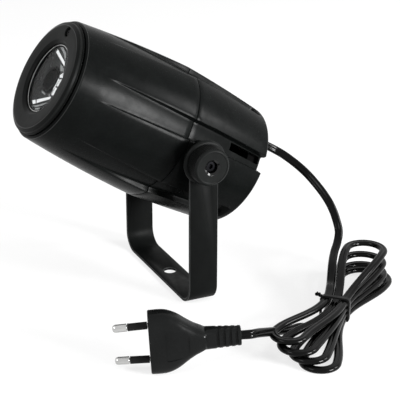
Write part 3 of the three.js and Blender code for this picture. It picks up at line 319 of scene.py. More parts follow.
# Camera and lamps, in metres and degrees
CAMERA_PLACE = (0.6331, -0.2626, 0.3254)
CAMERA_AZIMUTH = 64.86
CAMERA_ELEVATION = 22.09
CAMERA_ROLL = 0.13
SENSOR_WIDTH = 36
LAMPS = (
    ("key", (0.95, 0.56, 0.25), 0.34),
    ("back", (0.52, 1.05, 0.58), 0.34),
    ("fill", (0.35, -1.3, 1.1), 0.6),
)
LAMPS_AIM = (0, 0, 0.08)
FLOOR_REACH = 4
FLOOR_GREY = 0.8
FLOOR_GLOW = 0.72
FLOOR_SHADOW = 0.3


# Sizes and colours that a user would change


class PinspotHousing(bpy.types.PropertyGroup):
    tint: bpy.props.FloatVectorProperty(
        name="Housing tint", description="Colour of the moulded housing", subtype="COLOR", size=3, min=0, max=1,
        default=(0.0026, 0.003, 0.0029),
    )
    roughness: bpy.props.FloatProperty(
        name="Housing roughness", description="Roughness of the moulded housing", subtype="FACTOR", min=0, max=1,
        default=0.27,
    )
    grain: bpy.props.FloatProperty(
        name="Grain", description="Width of the moulded grain", subtype="DISTANCE", unit="LENGTH", default=0.0006,
        min=0.0001, max=0.01,
    )
    edge_round: bpy.props.FloatProperty(
        name="Edge rounding", description="Rounding of the shells' edges at the seam", subtype="DISTANCE",
        unit="LENGTH", default=0.0002, min=0.00005, max=0.001,
    )


class PinspotKnobs(bpy.types.PropertyGroup):
    ribs: bpy.props.IntProperty(name="Ribs", description="Number of ribs round each knob", default=56, min=12, max=120)
    rib_width: bpy.props.FloatProperty(
        name="Rib width", description="Width of one rib of the grip", subtype="DISTANCE", unit="LENGTH",
        default=0.0007, min=0.0002, max=0.003,
    )
    rib_height: bpy.props.FloatProperty(
        name="Rib height", description="How far a rib stands proud of the grip", subtype="DISTANCE", unit="LENGTH",
        default=0.0004, min=0.0001, max=0.0006,
    )


class PinspotBracket(bpy.types.PropertyGroup):
    tint: bpy.props.FloatVectorProperty(
        name="Paint tint", description="Colour of the powder coat", subtype="COLOR", size=3, min=0, max=1,
        default=(0.0028, 0.0031, 0.003),
    )
    edge_round: bpy.props.FloatProperty(
        name="Edge rounding", description="Rounding of the strap's edges", subtype="DISTANCE", unit="LENGTH",
        default=0.00028, min=0.00005, max=0.0006,
    )


class PinspotLead(bpy.types.PropertyGroup):
    tint: bpy.props.FloatVectorProperty(
        name="Lead tint", description="Colour of the lead's sheath", subtype="COLOR", size=3, min=0, max=1,
        default=(0.0012, 0.0012, 0.0012),
    )
    roughness: bpy.props.FloatProperty(
        name="Lead roughness", description="Roughness of the lead's sheath", subtype="FACTOR", min=0, max=1,
        default=0.13,
    )
    spacing: bpy.props.FloatProperty(
        name="Spacing", description="Distance between the rings of points along the lead", subtype="DISTANCE",
        unit="LENGTH", default=0.0015, min=0.0005, max=0.005,
    )


class PinspotStage(bpy.types.PropertyGroup):
    lens: bpy.props.FloatProperty(
        name="Lens", description="Focal length of the camera in millimetres", default=120.07, min=20, max=300
    )
    key: bpy.props.FloatProperty(
        name="Key lamp", description="Power of the soft lamp beside the housing", subtype="POWER", unit="POWER",
        default=26, min=0, max=500,
    )
    back: bpy.props.FloatProperty(
        name="Back lamp", description="Power of the soft lamp behind the housing", subtype="POWER", unit="POWER",
        default=9, min=0, max=500,
    )
    fill: bpy.props.FloatProperty(
        name="Fill lamp", description="Power of the soft lamp beside the camera", subtype="POWER", unit="POWER",
        default=9, min=0, max=500,
    )
    surround: bpy.props.FloatProperty(
        name="Surround", description="Strength of the even light from all round", subtype="FACTOR", default=0.5,
        min=0, max=2,
    )


# Helpers for places and meshes


def head_matrix():
    """Places the housing's own frame, with +Z along the beam."""
    turn = Matrix.Rotation(math.radians(90 - TILT), 4, "X")
    return Matrix.Translation(Vector(PIVOT) * MM) @ turn @ Matrix.Scale(MM, 4)


def along_pivot(side):
    """Turns a piece made along +Z so that it points along the pivot, to the right for side 1."""
    return Matrix.Rotation(side * math.pi / 2, 4, "Y")


def plug_matrix():
    """Places the plug's own frame, with +X along its pins and +Z up its face."""
    pitch = math.radians(PLUG_PITCH)
    place = Vector((PLUG_XY[0], PLUG_XY[1] + PIVOT[1], PLUG_HALF_HEIGHT * math.cos(pitch) + PLUG_LIFT))
    turn = Matrix.Rotation(math.radians(PLUG_TURN), 4, "Z") @ Matrix.Rotation(pitch, 4, "Y")
    return Matrix.Scale(MM, 4) @ Matrix.Translation(place) @ turn


def hank_matrix():
    """Places the tied loops' own frame, with +X towards their near end."""
    place = Vector((HANK_AT[0], HANK_AT[1] + PIVOT[1], 0))
    return Matrix.Scale(MM, 4) @ Matrix.Translation(place) @ Matrix.Rotation(math.radians(HANK_TURN), 4, "Z")


def add_mesh(name, points, faces, matrix=None, sharp=SHARP_ANGLE):
    """A piece from points and faces: doubles merged, faces outwards, smooth up to the sharp angle in degrees."""
    mesh = bpy.data.meshes.new(name)
    mesh.from_pydata([tuple(point) for point in points], [], faces)
    if matrix is not None:
        mesh.transform(matrix)
    piece = bpy.data.objects.new(name, mesh)
    bpy.context.scene.collection.objects.link(piece)
    tidied(piece, sharp)
    return piece


def tidied(piece, sharp=SHARP_ANGLE):
    work = bmesh.new()
    work.from_mesh(piece.data)
    bmesh.ops.remove_doubles(work, verts=work.verts, dist=0.000001)
    bmesh.ops.dissolve_degenerate(work, edges=work.edges, dist=0.0000005)
    bmesh.ops.recalc_face_normals(work, faces=work.faces)
    work.to_mesh(piece.data)
    work.free()
    shaded(piece, sharp)


def shaded(piece, sharp=SHARP_ANGLE):
    piece.data.shade_smooth()
    piece.data.set_sharp_from_angle(angle=math.radians(sharp))


def baked(piece, sharp=SHARP_ANGLE):
    """Applies the piece's modifiers to its mesh."""
    bpy.context.view_layer.update()
    seen = piece.evaluated_get(bpy.context.evaluated_depsgraph_get())
    mesh = bpy.data.meshes.new_from_object(seen)
    piece.modifiers.clear()
    piece.data = mesh
    shaded(piece, sharp)
    return piece


def carved(piece, cuts=(), joins=(), kept=(), sharp=SHARP_ANGLE):
    """Joins pieces to a closed piece, cuts others out of it or keeps what is inside them, and removes them."""
    for others, kind in ((joins, "UNION"), (cuts, "DIFFERENCE"), (kept, "INTERSECT")):
        for other in others:
            step = piece.modifiers.new(kind, "BOOLEAN")
            step.operation = kind
            step.solver = "EXACT"
            step.object = other
    baked(piece, sharp)
    for other in (*joins, *cuts, *kept):
        bpy.data.objects.remove(other)
    return piece


def joined(name, pieces, sharp=30, finishes=()):
    """One piece from several meshes, whose faces keep the numbers of their finishes."""
    work = bmesh.new()
    for piece in pieces:
        work.from_mesh(piece.data)
    mesh = bpy.data.meshes.new(name)
    work.to_mesh(mesh)
    work.free()
    whole = bpy.data.objects.new(name, mesh)
    bpy.context.scene.collection.objects.link(whole)
    for piece in pieces:
        bpy.data.objects.remove(piece)
    shaded(whole, sharp)
    for finish in finishes:
        mesh.materials.append(finish)
    return whole


def skin(rings, wrapped=False):
    """Points and faces of closed rings joined one to the next; the last meets the first when wrapped."""
    sides = len(rings[0])
    points = [point for ring in rings for point in ring]
    faces = []
    bands = len(rings) if wrapped else len(rings) - 1
    for i in range(bands):
        following = (i + 1) % len(rings)
        for k in range(sides):
            after = (k + 1) % sides
            faces.append((i * sides + k, following * sides + k, following * sides + after, i * sides + after))
    if not wrapped:
        faces.append(tuple(range(sides)))
        faces.append(tuple(reversed(range((len(rings) - 1) * sides, len(rings) * sides))))
    return points, faces


def softened(outline, radius, steps=4, closed=True):
    """An outline with its corners rounded; radius is one number or one for each corner."""
    count = len(outline)
    corners = [Vector(point) for point in outline]
    radii = radius if isinstance(radius, (list, tuple)) else [radius] * count
    soft = []
    for i, corner in enumerate(corners):
        at_end = not closed and i in (0, count - 1)
        before = corners[i - 1] - corner
        after = corners[(i + 1) % count] - corner
        reach = min(radii[i], before.length * 0.45, after.length * 0.45)
        if at_end or reach < 0.01:
            soft.append(tuple(corner))
            continue
        start = corner + before.normalized() * reach
        end = corner + after.normalized() * reach
        for k in range(steps + 1):
            share = k / steps
            point = start * (1 - share) ** 2 + corner * (2 * share * (1 - share)) + end * share**2
            soft.append(tuple(point))
    return soft


def turned(outline, sides=96):
    """Points and faces of an outline of (radius, height) turned about Z."""
    on_axis = outline[0][0] < 0.001 and outline[-1][0] < 0.001
    rings = []
    for radius, height in outline:
        ring = []
        for k in range(sides):
            turn = 2 * math.pi * k / sides
            ring.append((radius * math.cos(turn), radius * math.sin(turn), height))
        rings.append(ring)
    points, faces = skin(rings, wrapped=not on_axis)
    if on_axis:
        faces = faces[:-2]
    return points, faces


def lathed(profile, sides, steps=4, closed=True):
    """Points and faces of a profile turned about Z: radius, height and rounding for each corner."""
    corners = [(radius, height) for radius, height, _ in profile]
    return turned(softened(corners, [rounding for _, _, rounding in profile], steps, closed), sides)


def rectangle(left, low, right, high):
    return [(left, low), (right, low), (right, high), (left, high)]


def disc(radius, low, high, sides=48, rounding=0.0):
    outline = rectangle(0, low, radius, high)
    if rounding:
        outline = softened(outline, [0, rounding, rounding, 0], closed=False)
    return turned(outline, sides)


def collar(inner, outer, low, high, rounding, sides, steps=4):
    """Points and faces of a ring about Z with rounded edges."""
    return turned(softened(rectangle(inner, low, outer, high), rounding, steps), sides)


def prism(outline, low, high):
    """Points and faces of a flat outline in X and Y, pushed along Z."""
    return skin([[(x, y, low) for x, y in outline], [(x, y, high) for x, y in outline]])


def off_axis(place):
    return math.hypot(place.x, place.y)


def at_roll(degrees, reach):
    """Places a shape made about Z at a roll angle and a distance from the body's axis."""
    return Matrix.Rotation(math.radians(degrees), 4, "Z") @ Matrix.Translation((reach, 0, 0))


def radial(degrees):
    """Turns a prism so that its X runs round the body, its Y along it and its length outwards."""
    frame_of_cut = Matrix(((0, 0, 1, 0), (1, 0, 0, 0), (0, 1, 0, 0), (0, 0, 0, 1)))
    return Matrix.Rotation(math.radians(degrees), 4, "Z") @ frame_of_cut


def copies_tree():
    """A node tree that sets copies of a mesh round a circle, each turned outwards."""
    name = "copies_round_a_circle"
    if name in bpy.data.node_groups:
        return bpy.data.node_groups[name]
    tree = bpy.data.node_groups.new(name, "GeometryNodeTree")
    for socket, kind in (
        ("Geometry", "Geometry"), ("Count", "Int"), ("Radius", "Float"), ("Phase", "Float"), ("Material", "Material"),
    ):
        tree.interface.new_socket(socket, in_out="INPUT", socket_type=f"NodeSocket{kind}")
    tree.interface.new_socket("Geometry", in_out="OUTPUT", socket_type="NodeSocketGeometry")
    given, result, line, index, part, turn, spin, out, swing, place, copy, real, finish = [
        tree.nodes.new(kind)
        for kind in (
            "NodeGroupInput", "NodeGroupOutput", "GeometryNodeMeshLine", "GeometryNodeInputIndex", "ShaderNodeMath",
            "ShaderNodeMath", "ShaderNodeCombineXYZ", "ShaderNodeCombineXYZ", "ShaderNodeVectorRotate",
            "GeometryNodeSetPosition", "GeometryNodeInstanceOnPoints", "GeometryNodeRealizeInstances",
            "GeometryNodeSetMaterial",
        )
    ]
    part.operation = "DIVIDE"
    turn.operation = "MULTIPLY_ADD"
    turn.inputs[1].default_value = 2 * math.pi
    swing.rotation_type = "Z_AXIS"
    for giver, output, taker, socket in (
        (given, "Count", line, "Count"),
        (index, 0, part, 0),
        (given, "Count", part, 1),
        (part, 0, turn, 0),
        (given, "Phase", turn, 2),
        (turn, 0, spin, "Z"),
        (given, "Radius", out, "X"),
        (out, 0, swing, "Vector"),
        (turn, 0, swing, "Angle"),
        (line, "Mesh", place, "Geometry"),
        (swing, 0, place, "Position"),
        (place, 0, copy, "Points"),
        (given, "Geometry", copy, "Instance"),
        (spin, 0, copy, "Rotation"),
        (copy, 0, real, 0),
        (real, 0, finish, "Geometry"),
        (given, "Material", finish, "Material"),
        (finish, 0, result, 0),
    ):
        tree.links.new(giver.outputs[output], taker.inputs[socket])
    return tree


def copied(piece, count, radius, phase, material, matrix, sharp=SHARP_ANGLE):
    """Replaces a mesh, made in millimetres, by copies of it round a circle, then places them."""
    step = piece.modifiers.new("copies", "NODES")
    step.node_group = copies_tree()
    named = {item.name: item.identifier for item in step.node_group.interface.items_tree if item.in_out == "INPUT"}
    step[named["Count"]] = count
    step[named["Radius"]] = float(radius)
    step[named["Phase"]] = math.radians(phase)
    step[named["Material"]] = material
    baked(piece, sharp)
    piece.data.transform(matrix)
    piece.data.update()
    return piece


def put_on(piece, body, slot, *nodes):
    """Lets a piece ride on a body, in place of the nodes named, which are hidden; the slot is not used."""
    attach(piece, body)
    if nodes:
        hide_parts(*nodes)


def give(piece, *finishes, number=0, chosen=None):
    """Gives a piece its finishes, and the one of that number to all its faces or those with a chosen centre."""
    piece.data.materials.clear()
    for finish in finishes:
        piece.data.materials.append(finish)
    for face in piece.data.polygons:
        if chosen is None or chosen(face.center):
            face.material_index = number


# Finishes


def node_of(tree, kind, **values):
    made = tree.nodes.new(kind)
    for name, value in values.items():
        made.inputs[name.replace("_", " ")].default_value = value
    return made


def noise(tree, coords, size, detail, roughness=0.55):
    """Noise with features about the given size in metres."""
    made = node_of(tree, "ShaderNodeTexNoise", Scale=1 / size, Detail=detail, Roughness=roughness)
    tree.links.new(coords, made.inputs["Vector"])
    return made.outputs["Fac"]


def ranged(tree, value, low, high):
    """Value that runs from low to high over the span of the noise."""
    made = tree.nodes.new("ShaderNodeMapRange")
    for name, number in zip(("From Min", "From Max", "To Min", "To Max"), (*NOISE_SPAN, low, high)):
        made.inputs[name].default_value = number
    tree.links.new(value, made.inputs["Value"])
    return made.outputs["Result"]


def blended(tree, share, first, second):
    """Colour that runs from the first to the second with the share."""
    made = tree.nodes.new("ShaderNodeValToRGB")
    for element, position, colour in zip(made.color_ramp.elements, NOISE_SPAN, (first, second)):
        element.position = position
        element.color = (*colour, 1)
    tree.links.new(share, made.inputs["Fac"])
    return made.outputs["Color"]


def bumped(tree, height, distance, strength, before=None):
    made = tree.nodes.new("ShaderNodeBump")
    made.inputs["Strength"].default_value = strength
    made.inputs["Distance"].default_value = distance
    tree.links.new(height, made.inputs["Height"])
    if before is not None:
        tree.links.new(before, made.inputs["Normal"])
    return made.outputs["Normal"]


def surface(
    name,
    tint,
    roughness,
    metal=0.0,
    shine=0.5,
    uneven=0.08,
    grain=0.0006,
    grain_height=0.00003,
    grain_strength=0.25,
    wave=0.0,
    shift=0.18,
    mottle=0.012,
):
    """A procedural finish: mottled colour, uneven roughness, fine grain and a faint unevenness of the surface."""
    name = f"{name}_finish"
    if name in bpy.data.materials:
        return bpy.data.materials[name]
    material = bpy.data.materials.new(name)
    material.use_nodes = True
    tree = material.node_tree
    shader = tree.nodes["Principled BSDF"]
    coords = tree.nodes.new("ShaderNodeTexCoord").outputs["Object"]
    patches = noise(tree, coords, mottle, 4.0)
    light = tuple(min(1.0, part * (1 + shift)) for part in tint)
    dark = tuple(part * (1 - shift) for part in tint)
    tree.links.new(blended(tree, patches, dark, light), shader.inputs["Base Color"])
    smudges = noise(tree, coords, mottle * 0.45, 5.0, 0.62)
    tree.links.new(
        ranged(tree, smudges, max(0.02, roughness - uneven), roughness + uneven), shader.inputs["Roughness"]
    )
    fine = noise(tree, coords, grain, 2.0, 0.5)
    normal = bumped(tree, fine, grain_height, grain_strength)
    if wave:
        slow = noise(tree, coords, wave, 1.0, 0.4)
        normal = bumped(tree, slow, 0.0004, 0.25, normal)
    tree.links.new(normal, shader.inputs["Normal"])
    shader.inputs["Metallic"].default_value = metal
    shader.inputs["Specular IOR Level"].default_value = shine
    return material


def body_plastic():
    sizes = bpy.context.scene.pinspot_housing
    return surface(
        "housing_plastic", tuple(sizes.tint), sizes.roughness, shine=0.034, grain=sizes.grain, uneven=0.05,
        grain_height=0.00002, wave=0.02,
    )


def trim_plastic():
    return surface(
        "trim_plastic", (0.0062, 0.0067, 0.0065), 0.34, shine=0.04, grain=0.0007, uneven=0.05, grain_height=0.00003
    )


def polished_edge():
    """A lighter, glossier thin line on a moulded edge: a painted highlight."""
    return surface("polished_edge", (0.014, 0.0148, 0.0145), 0.24, shine=0.22, uneven=0.04, grain_height=0.00001)


# Darker than the knob's plastic, a painted shade in the recess, and glossier, so that a lamp glints at its mouth
def recess_polish():
    return surface("recess_polish", (0.002, 0.002, 0.002), 0.14, shine=0.3, uneven=0.02, grain_height=0.00001)


def strap_paint():
    tint = tuple(bpy.context.scene.pinspot_bracket.tint)
    return surface(
        "strap_paint", tint, 0.45, shine=0.035, grain=0.0009, grain_height=0.00006, grain_strength=0.35, uneven=0.06
    )


# Lighter, glossier paint on the strap's bevelled edges: partly wear, partly a painted highlight along them
def strap_edge():
    return surface("strap_edge", (0.02, 0.021, 0.021), 0.42, shine=0.2, grain=0.0005, uneven=0.1, shift=0.5)


def cord_sheath():
    sizes = bpy.context.scene.pinspot_lead
    return surface(
        "cord_sheath", tuple(sizes.tint), sizes.roughness, shine=0.1, grain=0.0009, grain_height=0.00002,
        uneven=0.06, mottle=0.02, wave=0.006,
    )


def soft_rubber(name="boot_rubber", tint=(0.006, 0.006, 0.006), roughness=0.4, shine=0.1):
    return surface(name, tint, roughness, shine=shine, grain=0.0005, grain_height=0.00002, uneven=0.07)


def bare_metal(name, tint, roughness, grain=0.0004):
    return surface(
        name, tint, roughness, metal=1.0, grain=grain, grain_height=0.000008, uneven=0.06, shift=0.06, mottle=0.006
    )


def zinc_steel():
    return bare_metal("zinc_steel", (0.56, 0.57, 0.58), 0.32)


def black_steel():
    return bare_metal("blackened_steel", (0.008, 0.008, 0.009), 0.4)


def mirror_coat():
    return surface(
        "mirror_coat", (0.9, 0.905, 0.91), 0.1, metal=1.0, grain=0.0012, grain_height=0.00001, grain_strength=0.2,
        uneven=0.04, shift=0.03, wave=0.004,
    )


def clear_lens():
    material = bpy.data.materials.new("clear_lens_finish")
    material.use_nodes = True
    tree = material.node_tree
    shader = tree.nodes["Principled BSDF"]
    coords = tree.nodes.new("ShaderNodeTexCoord").outputs["Object"]
    tree.links.new(bumped(tree, noise(tree, coords, 0.012, 1.0), 0.0001, 0.08), shader.inputs["Normal"])
    smears = noise(tree, coords, 0.005, 4.0)
    tree.links.new(ranged(tree, smears, 0.0, 0.04), shader.inputs["Roughness"])
    shader.inputs["Base Color"].default_value = (0.98, 0.99, 0.99, 1)
    shader.inputs["Transmission Weight"].default_value = 1.0
    shader.inputs["IOR"].default_value = 1.06
    return material


# Housing


def housing_radius(station):
    """Radius between the channels: a straight run from the belly to each end, with a slight crown."""
    front = station > SEAM
    end = FRONT_RIM if front else REAR_END
    end_radius = FRONT_RIM_RADIUS if front else REAR_RADIUS
    crown = FRONT_CROWN if front else REAR_CROWN
    share = (station - SEAM) / (end - SEAM)
    return BELLY_RADIUS + (end_radius - BELLY_RADIUS) * share + 4 * crown * share * (1 - share)


def channel_depth(station):
    if station > SEAM:
        share = (CHANNEL_START - station) / (CHANNEL_START - SEAM)
        return CHANNEL_SEAM_DEPTH * max(0.0, share)
    share = (SEAM - station) / (SEAM - REAR_END)
    return CHANNEL_SEAM_DEPTH + (CHANNEL_REAR_DEPTH - CHANNEL_SEAM_DEPTH) * min(1.0, share)


def closed_share(station):
    """Share of a closed channel's depth that is left at a station, as it runs out before the rear rim."""
    share = (station - CHANNEL_CLOSE + CHANNEL_CLOSE_LENGTH) / CHANNEL_CLOSE_LENGTH
    share = min(max(share, 0.0), 1.0)
    return share * share * (3 - 2 * share)


def channel_sides(station):
    """Half the channel's width in degrees on its low and its high side."""
    for (front, *wide), (rear, *narrow) in zip(CHANNEL_SIDES, CHANNEL_SIDES[1:]):
        if station > rear or rear == CHANNEL_SIDES[-1][0]:
            share = min(max((front - station) / (front - rear), 0.0), 1.0)
            return [a + (b - a) * share for a, b in zip(wide, narrow)]


def housing_columns(station):
    """Columns round the housing: roll angle, share of the channel's depth and whether the channel is open."""
    low, high = channel_sides(station)
    outer, inner = CHANNEL_WALL[0][0], -CHANNEL_WALL[-1][0]
    columns = []
    for k in range(CHANNELS):
        centre = CHANNEL_PHASE + k * 360 / CHANNELS
        is_open = k in OPEN_CHANNELS
        for beyond, share in CHANNEL_WALL:
            columns.append((centre - low - beyond, share, is_open))
        for j in range(1, FLOOR_POINTS):
            columns.append((centre - low + inner + (low + high - 2 * inner) * j / FLOOR_POINTS, 1.0, is_open))
        for beyond, share in reversed(CHANNEL_WALL):
            columns.append((centre + high + beyond, share, is_open))
        panel = 360 / CHANNELS - low - high - 2 * outer
        for j in range(1, PANEL_POINTS):
            columns.append((centre + high + outer + panel * j / PANEL_POINTS, 0.0, is_open))
    return columns


def housing_ring(station, radius, depth, least=0.0):
    ring = []
    for degrees, share, is_open in housing_columns(station):
        reach = max(radius - depth * share * (1 if is_open else closed_share(station)), least)
        turn = math.radians(degrees)
        ring.append((reach * math.cos(turn), reach * math.sin(turn), station))
    return ring


def spread(low, high, count):
    return [low + (high - low) * i / count for i in range(count + 1)]


def rear_bore_at(station):
    share = (SEAM - GAP / 2 - station) / (SEAM - GAP / 2 - REAR_END)
    return FRONT_BORE + (REAR_BORE - FRONT_BORE) * share


def build_front_shell():
    edge = bpy.context.scene.pinspot_housing.edge_round / MM
    top = FRONT_RIM + FRONT_RIM_ROUND
    end = SEAM + GAP / 2
    rings = []
    for share, drop in FRONT_RIM_STEPS:
        rings.append(housing_ring(FRONT_RIM + FRONT_RIM_ROUND * share, FRONT_RIM_RADIUS - FRONT_RIM_DROP * drop, 0))
    for station in (*spread(75, CHANNEL_START, 3), *spread(CHANNEL_START, end + edge, 18)[1:]):
        rings.append(housing_ring(station, housing_radius(station), channel_depth(station)))
    rings.append(housing_ring(end + edge * 0.3, housing_radius(end) - edge * 0.3, channel_depth(end)))
    rings.append(housing_ring(end, housing_radius(end) - edge, channel_depth(end)))
    tongue = rear_bore_at(end - GAP - TONGUE_LENGTH) - GAP
    for station, radius in (
        (end, tongue),
        (end - TONGUE_LENGTH, tongue),
        (end - TONGUE_LENGTH, tongue - TONGUE_WALL),
        (end + TONGUE_ROOT, tongue - TONGUE_WALL),
        (end + TONGUE_ROOT, FRONT_BORE),
        (LEDGE[0], FRONT_BORE),
        (LEDGE[0], LEDGE_BORE),
        (LEDGE[1], LEDGE_BORE),
        (LEDGE[1], FRONT_BORE),
        (SPIGOT_SEAT, FRONT_BORE),
        (SPIGOT_SEAT, SPIGOT_BORE),
        (top - 0.3, SPIGOT_BORE),
        (top, SPIGOT_BORE + 0.3),
    ):
        rings.append(housing_ring(station, radius, 0))
    shell = add_mesh("front_shell_skin", *skin(rings, wrapped=True), sharp=32)
    half = BOSS_RADIUS + GAP
    slot = add_mesh("slot", *prism(rectangle(-2 * FRONT_BORE, -half, 2 * FRONT_BORE, half), 0, half))
    carved(shell, [slot], sharp=32)
    # The thin line on the front rim's rounding takes the lighter finish, a painted highlight
    low, high = (FRONT_RIM + FRONT_RIM_ROUND * share for share in FRONT_RIM_HIGHLIGHT)

    def on_rim_highlight(place):
        return low < place.z < high and off_axis(place) > FRONT_RIM_RADIUS - 0.4

    give(shell, body_plastic(), polished_edge(), number=1, chosen=on_rim_highlight)
    shell.data.transform(head_matrix())
    put_on(shell, "head", "housing_plastic", "front_shell")


def build_rear_shell():
    edge = bpy.context.scene.pinspot_housing.edge_round / MM
    start = SEAM - GAP / 2
    rounding = REAR_END + REAR_ROUND
    rings = [
        housing_ring(start, housing_radius(start) - edge, channel_depth(start)),
        housing_ring(start - edge * 0.3, housing_radius(start) - edge * 0.3, channel_depth(start)),
    ]
    for station in (
        *spread(start - edge, CHANNEL_CLOSE, 14),
        *spread(CHANNEL_CLOSE, CHANNEL_CLOSE - CHANNEL_CLOSE_LENGTH, 6)[1:],
        rounding,
    ):
        rings.append(housing_ring(station, housing_radius(station), channel_depth(station)))
    for degrees in (15, 30, 45, 60, 75, 90):
        turn = math.radians(degrees)
        station = REAR_END + REAR_ROUND * (1 - math.sin(turn))
        radius = housing_radius(rounding) - REAR_ROUND * (1 - math.cos(turn))
        rings.append(housing_ring(station, radius, channel_depth(station), REAR_BORE + 1.2))
    for station, radius in ((REAR_END, REAR_BORE + 0.5), (REAR_END + 0.5, REAR_BORE), (start, FRONT_BORE)):
        rings.append(housing_ring(station, radius, 0))
    shell = add_mesh("rear_shell_skin", *skin(rings, wrapped=True), sharp=32)
    joins, cuts = [], []
    for side in (1, -1):
        joins.append(add_mesh("boss", *disc(BOSS_RADIUS, *BOSS_REACH, 64, rounding=0.4), along_pivot(side)))
        cuts.append(add_mesh("bore", *disc(STUD_RADIUS + GAP, *STUD_BORE_REACH, 40), along_pivot(side)))
        cuts.append(add_mesh("pocket", *disc(POCKET_RADIUS, *POCKET_REACH, 40), along_pivot(side)))
    post_low = PLATE[1] + GAP
    for roll in PLATE_SCREW_ROLLS:
        post = disc(POST_RADIUS, post_low, post_low + POST_LENGTH, 24)
        joins.append(add_mesh("post", *post, at_roll(roll, PLATE_SCREW_CIRCLE)))
    half_length = (WINDOW[1] - WINDOW[0]) / 2
    middle = (WINDOW[1] + WINDOW[0]) / 2
    window = softened(rectangle(-WINDOW_WIDTH / 2, -half_length, WINDOW_WIDTH / 2, half_length), 0.5, 5)
    window = [(x, y + middle) for x, y in window]
    corners = rectangle(-NOTCH_WIDTH / 2, REAR_END - 4, NOTCH_WIDTH / 2, REAR_END + NOTCH_DEPTH)
    notch = softened(corners, [0, 0, NOTCH_ROUND, NOTCH_ROUND], 6)
    for k in OPEN_CHANNELS:
        centre = CHANNEL_PHASE + k * 360 / CHANNELS
        cuts.append(add_mesh("window", *prism(window, *WALL_CUT), radial(centre + WINDOW_OFFSET)))
        cuts.append(add_mesh("notch", *prism(notch, *WALL_CUT), radial(centre + NOTCH_OFFSET)))
    carved(shell, cuts, joins, sharp=32)
    shell.data.transform(head_matrix())
    give(shell, body_plastic())
    put_on(shell, "head", "housing_plastic", "rear_shell")


def build_rear_plate():
    radius = rear_bore_at(PLATE[0]) - GAP
    plate = add_mesh("rear_plate_skin", *disc(radius, *PLATE, 96, rounding=0.4))
    through = (PLATE[0] - 2, PLATE[1] + 2)
    cuts = [add_mesh("hole", *disc(PLATE_BOOT_HOLE, *through, 40), Matrix.Translation((0, BOOT_ASIDE, 0)))]
    for roll in PLATE_SCREW_ROLLS:
        cuts.append(add_mesh("bore", *disc(PLATE_SCREW_HOLE, *through, 24), at_roll(roll, PLATE_SCREW_CIRCLE)))
    cuts.append(add_mesh("groove", *collar(*PLATE_GROOVE, 0.1, 96)))
    lip = add_mesh("lip", *collar(radius - LIP_WALL, radius, *LIP_ENDS, 0.2, 96))
    carved(plate, cuts, [lip])
    # The lip behind the windows is painted near black: painted shade
    dark = soft_rubber("shaded_lip", (0.0015, 0.0015, 0.0015), 0.6, 0.01)
    give(plate, body_plastic(), dark, number=1, chosen=lambda place: off_axis(place) > radius - LIP_SHADE)
    plate.data.transform(head_matrix())
    put_on(plate, "head", "housing_plastic", "rear_plate")


# Screws


def screw_mesh(name, shank, head, height, length, drive, depth):
    """A pan-head screw along +Z with its seat at zero and a cross drive sunk in its head."""
    profile = [
        (0, -length, 0), (shank * 0.5, -length, 0.1), (shank, -length + 1.2, 0.1), (shank, 0, 0), (head, 0, 0.1),
        (head, height * 0.45, height * 0.4), (head * 0.72, height, height * 0.3), (0, height, 0),
    ]
    screw = add_mesh(name, *lathed(profile, 32, 3, closed=False))
    arm = drive * 0.28
    cross = [
        (arm, arm), (arm, drive), (-arm, drive), (-arm, arm), (-drive, arm), (-drive, -arm),
        (-arm, -arm), (-arm, -drive), (arm, -drive), (arm, -arm), (drive, -arm), (drive, arm),
    ]
    slim = [(x * 0.62, y * 0.62) for x, y in cross]
    rings = [[(x, y, height - depth) for x, y in slim], [(x, y, height + 0.3) for x, y in cross]]
    cut = add_mesh("drive", *skin(rings))
    return carved(screw, [cut])


def build_screws():
    seat = head_matrix() @ Matrix.Translation((0, 0, PLATE[0] - GAP)) @ Matrix.Rotation(math.pi, 4, "X")
    rear = screw_mesh("rear_screws", shank=1.4, head=3.0, height=2.0, length=14.0, drive=1.7, depth=1.1)
    copied(rear, len(PLATE_SCREW_ROLLS), PLATE_SCREW_CIRCLE, -PLATE_SCREW_PHASE, zinc_steel(), seat)
    put_on(rear, "head", "bright_screw", "rear_screw_1", "rear_screw_2", "rear_screw_3")
    lock = screw_mesh("lock_screw", shank=1.2, head=2.0, height=RING_SCREW_HEAD, length=9.0, drive=1.25, depth=0.8)
    place = Matrix.Translation((0, LOCK_SCREW_RADIUS, RING_SCREW_TOP - RING_SCREW_HEAD))
    lock.data.transform(head_matrix() @ place)
    give(lock, black_steel())
    put_on(lock, "head", "dark_screw", "ring_screw")


# Front ring and optics


def build_front_ring():
    ring = add_mesh("front_ring_skin", *lathed(RING_PROFILE, 160), sharp=30)
    seat = RING_SCREW_TOP - RING_SCREW_HEAD - GAP
    place = Matrix.Translation((0, LOCK_SCREW_RADIUS, 0))
    sink = turned([(0, seat), (2.6, seat), (2.6, RING_FACE - 0.5), (2.9, RING_FACE + 0.1), (0, RING_FACE + 0.1)], 40)
    cuts = [
        add_mesh("sink", *sink, place),
        add_mesh("bore", *disc(1.5, RING_BACK - 2, seat + 1, 24), place),
    ]
    carved(ring, cuts, sharp=30)

    # The ring's thin outer edge takes the lighter finish, a painted highlight
    def on_ring_highlight(place):
        return RING_HIGHLIGHT[0] < off_axis(place) < RING_HIGHLIGHT[1] and place.z > RING_FACE - 0.25

    give(ring, trim_plastic(), polished_edge(), number=1, chosen=on_ring_highlight)
    ring.data.transform(head_matrix())
    put_on(ring, "head", "trim_plastic", "front_ring")


